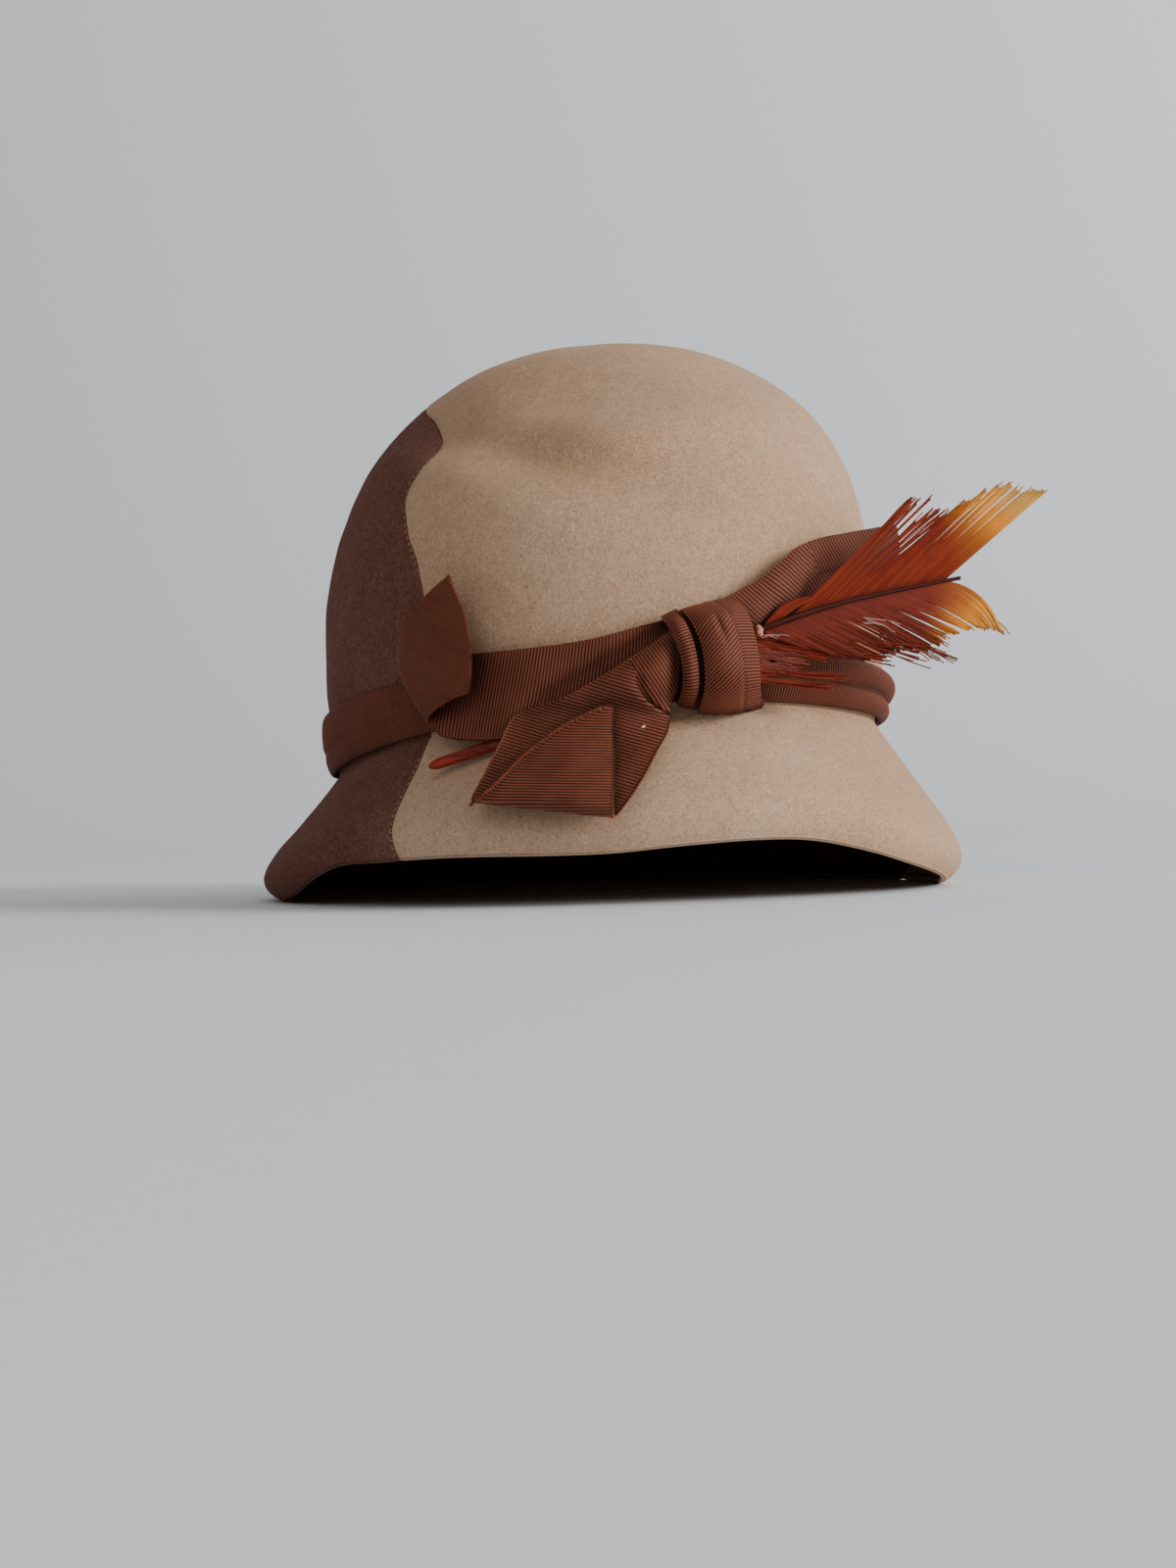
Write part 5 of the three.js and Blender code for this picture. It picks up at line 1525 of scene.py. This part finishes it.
BARB_TAPER = ((0, 0.15, 0.7, 0.9, 1), (0.8, 1, 0.85, 0.4, 0.1))  # places along it, and its girth there
LOCK = (2, 8)  # the fewest barbs in a lock, and one more than the most
SPIKE_STRAYS = (0.4, 0.25)  # how far a loose lock's spike strays, along the vane and up
LOOSE_LONGER = 0.02  # and how much longer or shorter it is
LOOSE_BROKEN = 0.05  # how much shorter a broken barb of it is
LOOSE_STRAY = 0.14
PINCH = 0.36  # how far a loose lock's tips come together
PINCH_MOST = 0.9
PINCH_PAST = 0.25  # how much of it their bends have
KNOT_HIDES = 0.6  # the barbs' roots start this far inside the knot
VANE_BOW = {"high": 0.9, "uneven": 0.25}  # how far the vane arches towards the front
TIPS_DARK = {"from": 0.9, "share": 0.65}
ROOTS_DARK = {"until": 0.07, "share": 0.6}
GILT = {"least": 0.25, "from": 0.3, "to": 0.9}  # how the gold grows along a barb
TONE_STRAY = 0.2
PARTING_WAY = (1, 0.25)
PARTING_SPREAD = 2.2  # how far along the shaft a parting pushes the tips away
DUSK_X = (84, 104)  # the dusk at a vane's foot has gone between these


def barbs(name, tables, partings, gold_from, dusk, seed, replaces):
    """A vane: hundreds of barbs that hook together in small locks, whose tips part into spikes."""
    draw = np.random.default_rng(seed)
    lines, floats = [], {}
    steps = np.linspace(0, 1, BARB_STEPS)
    s = steps[:, None]
    girth = np.interp(steps, *BARB_TAPER)
    arch = VANE_BOW["high"] * np.sin(np.pi * steps * 0.9)
    gilded = GILT["least"] + (1 - GILT["least"]) * smoothstep(steps, GILT["from"], GILT["to"])
    tips_dark = TIPS_DARK["share"] * smoothstep(steps, TIPS_DARK["from"], 1.0)
    roots_dark = ROOTS_DARK["share"] * (1 - smoothstep(steps, 0.0, ROOTS_DARK["until"]))
    for table in tables:
        roots = np.arange(table[0]["root"], table[-1]["root"], BARB_APART * table_pace(table))
        placed = with_xz(table)

        def read(key, root):
            return np.array([along(placed, key + axis, "root", root) for axis in "xz"])

        k = 0
        while k < len(roots):
            lock = roots[k:k + draw.integers(*LOCK)]
            k += len(lock)
            heart = lock.mean()
            loose = float(along(table, "loose", "root", heart))
            spike = read("tip", heart) + loose * np.array([draw.normal(0, far) for far in SPIKE_STRAYS])
            longer = 1 + LOOSE_LONGER * loose * draw.uniform(-1.4, 1)
            pinch = np.clip(PINCH * loose * draw.uniform(0.7, 1.5), 0, PINCH_MOST)
            tone = draw.uniform(0, 1)
            for root in lock:
                start = shaft_point(np.maximum(root, FEATHER_X - KNOT_HIDES))
                tip = read("tip", root)
                tip = tip + (spike - tip) * pinch
                for row in partings:
                    off = root - row["root"]
                    opened = math.copysign(row["wide"], off)
                    tip = tip + np.array(PARTING_WAY) * opened * math.exp(-abs(off) / PARTING_SPREAD)
                broken = LOOSE_BROKEN * loose * draw.uniform(0, 1) ** 3
                tip = start + (tip - start) * (longer - broken)
                tip = tip + loose * LOOSE_STRAY * draw.normal(size=2)
                past = read("past", root) + PINCH_PAST * pinch * (spike - read("tip", root))
                flat = bent(start, past, tip, s)
                bow = arch + VANE_BOW["uneven"] * draw.normal() * steps**2
                lines.append(in_feather(flat[:, 0], flat[:, 1], bow))
                dark = (tips_dark * draw.uniform(0.1, 1) + roots_dark
                        + dusk * (1 - smoothstep(flat[:, 0], *DUSK_X)) * draw.uniform(0.5, 1))
                noted(floats, girth=girth, gold=smoothstep(flat[:, 0], *gold_from) * gilded, dark=dark,
                      streak=np.clip(tone + draw.normal(0, TONE_STRAY), 0, 1), pale=0)
    return blades(name, lines, floats, replaces)


WISP_TAPER = ((0, 0.2, 0.8, 1), (0.8, 1, 0.6, 0.15))
WISP_BUNDLE = 0.45  # how far apart a bundle's roots are
WISP_WAVE = 0.12
WISP_BOW = 0.5
WISP_REACH = (0.55, 1.1)  # the share of its way to the tip that a wisp goes


def wisps():
    """Loose barbs: the downy ones at the feather's foot, its frayed edge, and a tangle of pale down."""
    draw = np.random.default_rng(43)
    lines, floats = [], {}
    steps = np.linspace(0, 1, BARB_STEPS)
    girth = np.interp(steps, *WISP_TAPER)
    for row in WISPS:
        for _ in range(row["count"]):
            wander = draw.normal(0, row["stray"], 2)
            start = np.array(row["from"]) + draw.normal(0, WISP_BUNDLE, 2) * row["bundle"]
            reach = draw.uniform(*WISP_REACH)
            past = np.array(row["past"]) + 0.5 * wander
            tip = start + (np.array(row["tip"]) + wander - start) * reach
            past = start + (past - start) * reach
            wave = np.sin(steps * draw.uniform(4, 9) + draw.uniform(0, 6))
            flat = bent(start, past, tip, steps[:, None]) + WISP_WAVE * row["stray"] * wave[:, None]
            bow = row["lift"] + WISP_BOW * draw.normal() * steps
            lines.append(in_feather(flat[:, 0], flat[:, 1], bow))
            noted(floats, girth=row["girth"] * girth, gold=row["gold"],
                  dark=row["dark"] * draw.uniform(0.3, 1), streak=draw.uniform(0, 1),
                  pale=row["pale"] * draw.uniform(0.6, 1))
    return blades("feather_wisps", lines, floats)


def table_pace(table):
    """Barbs that fan from a short stretch of shaft start closer together there."""
    tips = np.array([row["tip"] for row in table], float)
    spread = np.linalg.norm(np.diff(tips, axis=0), axis=1).sum()
    return (table[-1]["root"] - table[0]["root"]) / max(spread, 1)


def with_xz(table):
    """The table with its points split into columns."""
    return [{**row, "pastx": row["past"][0], "pastz": row["past"][1], "tipx": row["tip"][0],
             "tipz": row["tip"][1]} for row in table]


# ---- frayed ends and small scraps --------------------------------------------------------------

FRAY_JITTER = 0.14  # how far the yarn ends start from the cut
FRAY_STRAY = 0.75  # how far they lean from their way
FRAY_BLUNT = 0.3


def fray_along(name, line, out, seed, each, reach, girth=0.11):
    """Loose yarn ends along a cut edge, one for each so many millimetres, pointing out."""
    draw = np.random.default_rng(seed)
    out = np.broadcast_to(np.array(out, float), line.shape)
    far = far_along(line)
    at = np.sort(draw.uniform(0, far[-1], int(far[-1] / each)))
    points, ways = picked(at, far, line), picked(at, far, out)
    points = points + draw.normal(0, FRAY_JITTER, points.shape)
    reaches = draw.uniform(*reach, len(at)) * draw.uniform(0.5, 1, len(at))
    return strewn(name, points, unit(ways), reaches, girth, FRAYED, "grosgrain", blunt=FRAY_BLUNT,
                  stray=FRAY_STRAY, seed=seed)


CORD_SIDES = 9
CORD_BASE = 0.85  # a cord's least radius, for one of 1 on average
CORD_RIBS = 0.3  # how much its ribs add
CORD_FRAY = 0.75  # how loose and rusty its yarn is
CORD_RINGS = {"least": 24, "each": 3}  # in all, and for each point of its line
CORD_ENDS = {"least": 0.3, "grow": 0.5}  # how thick its end rings are, and how fast it comes to its full size


def cord_along(name, line, thick, material, slot, seed, rough):
    """A thin uneven cord along a line, such as a thread, or the rolled edge of a cut ribbon."""
    count = max(CORD_RINGS["least"], len(line) * CORD_RINGS["each"])
    fine = through(line, np.linspace(0, 1, count))
    far = far_along(fine)
    draw = np.random.default_rng(seed)
    rib = np.repeat(ribbed(far)[:, None], CORD_SIDES, axis=1)
    uneven = rough * draw.uniform(-1, 1, (len(fine), CORD_SIDES))
    r = thick / 2 * (CORD_BASE + CORD_RIBS * rib + uneven)
    ends = np.minimum(np.arange(len(fine)), np.arange(len(fine))[::-1])
    r = r * np.minimum(1, CORD_ENDS["least"] + CORD_ENDS["grow"] * ends)[:, None]
    rings, _, faces = tube(fine, r, guide=(0, -1, -0.2))
    points = np.vstack([rings.reshape(-1, 3), fine[:1], fine[-1:]])
    run = np.append(np.repeat(far, CORD_SIDES), [0, far[-1]])
    flat = np.stack([run, np.zeros(len(points))], -1) * UV_FOR_MM
    mesh = plain_mesh(name, to_metres(points), faces,
                      {"rib": np.append(rib.ravel(), [0, 0]), "fray": np.full(len(points), CORD_FRAY),
                       "selvedge": np.zeros(len(points))}, flat)
    return finish_piece(name, outward(mesh), material, slot)


SCRAP_LUMPS = 0.25


def scrap(name, heart, size, material, slot, seed):
    """A small lumpy scrap, such as a blob of glue or a bit of lint."""
    bm = bmesh.new()
    bmesh.ops.create_icosphere(bm, subdivisions=3, radius=1)
    ball = np.array([vert.co for vert in bm.verts])
    faces = np.array([[v.index for v in face.verts] for face in bm.faces])
    bm.free()
    lumps = unevenness(ball, seed, waves=6, shortest=0.9, longest=2.2)
    lumpy = ball * (1 + SCRAP_LUMPS * lumps)[:, None] * np.array(size)
    mesh = plain_mesh(name, to_metres(np.array(heart) + lumpy), [faces])
    return finish_piece(name, outward(mesh), material, slot)


# ---- the hat ---------------------------------------------------------------------------------

felt_piece("felt_front", -1, CREAM_FELT, "cream_felt")
felt_piece("felt_back", 1, BROWN_FELT, "brown_felt")
seam_stitches()
band = hat_band()
upper, upper_cut = upper_tail()
lower, lower_cut = lower_tail()
right_tails = right_tail()
knots = knot()

tip = upper_cut[:1] + np.linspace(0, 1, 12)[:, None] * np.array([[0.7, 0, -2.2]])
hem = lower_cut[::6] + np.array([0, -0.25, 0])
along_hem = unit(lower_cut[-1] - lower_cut[0])
foot = lower_cut[0] + along_hem * np.linspace(-1.2, 4.5, 20)[:, None]
head = lower_cut[-1] + along_hem * np.linspace(-2, 0.4, 10)[:, None]
upper_fray = fray_along("upper_tail_fray", upper_cut, (1, 0, 0), seed=51, each=0.1, reach=(0.35, 1.0))
upper_tuft = fray_along("upper_tail_tuft", tip, (0.1, 0, 1), seed=52, each=0.035, reach=(0.9, 2.0),
                        girth=0.14)
hem_cord = cord_along("lower_tail_hem", hem, 1.4, GROSGRAIN, "grosgrain", seed=53, rough=0.3)
hem_fray = fray_along("lower_tail_fray", hem, (-0.5, -0.3, 0.7), seed=54, each=0.09, reach=(0.6, 1.5))
foot_tuft = fray_along("lower_tail_tuft", foot, (-0.6, -0.3, -0.5), seed=55, each=0.045,
                       reach=(0.7, 2.0), girth=0.14)
head_tuft = fray_along("lower_tail_peak", head, (0.2, -0.4, 1), seed=56, each=0.06, reach=(0.5, 1.3),
                       girth=0.12)
thread = on_bow([16, 18.5, 21, 24, 26.5], [50.4, 51.2, 52, 53, 53.6], [1.2, 0.6, 0.5, 0.6, 1.4])
cord_along("loose_thread", thread, 0.3, LOOSE_THREAD, "grosgrain", seed=57, rough=0.1)
scrap("glue_blob", on_bow(42.9, 76.4, 13.4), (1.0, 0.9, 1.7), GLUE, "quill", seed=58)
scrap("lint", on_bow(9, 50, 9.6), (0.6, 0.45, 0.55), LINT, "cream_felt", seed=59)

# Each sheet's flat size and area in millimetres, and the frays that go with it.
SHEETS = [
    {"piece": upper, "flat": (29, 108), "area": 2900, "held": "folded", "with": [upper_fray, upper_tuft]},
    {"piece": lower, "flat": (44, 90), "area": 2900, "held": "folded",
     "with": [hem_cord, hem_fray, foot_tuft, head_tuft]},
    {"piece": right_tails[0], "flat": (18, 62), "area": 1100, "held": "folded", "with": []},
    {"piece": right_tails[1], "flat": (18, 34), "area": 470, "held": "folded", "with": []},
    {"piece": knots[0], "flat": (10, 46), "area": 240, "held": "gathered", "with": []},
    {"piece": knots[1], "flat": (15, 50), "area": 620, "held": "gathered", "with": []},
    {"piece": knots[2], "flat": (10, 44), "area": 400, "held": "gathered", "with": []},
    {"piece": knots[3], "flat": (10, 14), "area": 80, "held": "gathered", "with": []},
    {"piece": knots[4], "flat": (24, 46), "area": 780, "held": "gathered", "with": []},
    {"piece": band, "flat": (20, 575), "area": 11500, "held": "gathered", "with": []},
]
for sheet in SHEETS:
    [size * MM for size in sheet["flat"]]
    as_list(sheet["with"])

feather_shaft()
barbs("feather_vane_upper", [UPPER_BARBS, UPPER_LEAF], UPPER_PARTINGS, gold_from=(94, 126), dusk=0.1,
      seed=41, replaces=["feather_vane_upper"])
barbs("feather_vane_lower", [LOWER_BARBS], LOWER_PARTINGS, gold_from=(88, 122), dusk=0.65, seed=42,
      replaces=["feather_vane_lower"])
wisps()

# ---- stage, light and camera -----------------------------------------------------------------

CAMERA = (-7.1, -900.0, 34.4)  # in the bow's frame
CAMERA_ROLL = math.radians(-1.7)
LENS = 64.8
SENSOR = 36
SWEEP = {"wide": 16.0, "near": -12.0, "far": 1.6, "high": 4.5, "curve": 0.9}  # in metres
ROOM = {"colour": (0.93, 0.96, 1.0, 1), "strength": 0.24}


def sweep():
    """A seamless pale floor that curves up into a wall behind the hat."""
    turn = np.linspace(0, np.pi / 2, 24)
    r = SWEEP["curve"]
    path = np.vstack([[SWEEP["near"], 0], [SWEEP["far"] - r, 0],
                      np.stack([SWEEP["far"] - r + r * np.sin(turn), r - r * np.cos(turn)], -1)[1:],
                      [SWEEP["far"], SWEEP["high"]]])
    rows = np.array([[(x, y, z) for x in (-SWEEP["wide"] / 2, SWEEP["wide"] / 2)] for y, z in path])
    points = from_bow(rows.reshape(-1, 3))
    mesh = plain_mesh("sweep", points, [grid_faces(len(path), 2)[:, ::-1]])
    floor = bpy.data.objects.new("sweep", mesh)
    bpy.context.scene.collection.objects.link(floor)
    finish = Finish("pale_paper", Specular_IOR_Level=0.2)
    grain = finish.noise(finish.place(), 60, detail=3)
    colour = finish.mixed(finish.ranged(grain, 0.3, 0.7, 0, 0.04), "floor", "lint")
    mesh.materials.append(finish.done(colour, finish.bump(grain, 0.1, 0.0004), 0.9))


def softbox(name, place, aim, size, power, colour):
    """A soft rectangular light; its place and aim are metres in the bow's frame."""
    lamp = bpy.data.lights.new(name, "AREA")
    lamp.shape, lamp.size, lamp.size_y = "RECTANGLE", *size
    lamp.energy, lamp.color = power, colour
    holder = bpy.data.objects.new(name, lamp)
    bpy.context.scene.collection.objects.link(holder)
    start, end = from_bow(np.array([place, aim]))
    holder.location = start
    holder.rotation_euler = (Vector(end) - Vector(start)).to_track_quat("-Z", "Y").to_euler()


sweep()
softbox("window", place=(2.2, -1.2, 0.95), aim=(0, 0, 0.09), size=(0.9, 1.1), power=68,
        colour=(0.97, 0.985, 1.0))
softbox("fill", place=(-0.9, -2.3, 1.7), aim=(0, 0, 0.1), size=(2.0, 2.0), power=13,
        colour=(1.0, 0.92, 0.82))
softbox("wall_wash", place=(1.9, 0.2, 1.6), aim=(0.8, 1.6, 0.5), size=(1.0, 1.0), power=15,
        colour=(0.97, 0.985, 1.0))
softbox("glint", place=(0.5, -1.6, 1.7), aim=(-0.05, -0.1, 0.06), size=(0.12, 0.12), power=2.5,
        colour=(1.0, 0.97, 0.93))
world = bpy.data.worlds.new("room")
world.use_nodes = True
world.node_tree.nodes["Background"].inputs["Color"].default_value = ROOM["colour"]
world.node_tree.nodes["Background"].inputs["Strength"].default_value = ROOM["strength"]
bpy.context.scene.world = world

camera = bpy.data.cameras.new("camera")
camera.lens = LENS
camera.sensor_width = SENSOR
view = bpy.data.objects.new("camera", camera)
bpy.context.scene.collection.objects.link(view)
view.matrix_world = (Matrix.Translation(to_metres(np.array([CAMERA]))[0])
                     @ Matrix.Rotation(-BOW_TURN, 4, "Z") @ Matrix.Rotation(math.pi / 2, 4, "X")
                     @ Matrix.Rotation(CAMERA_ROLL, 4, "Z"))
bpy.context.scene.camera = view
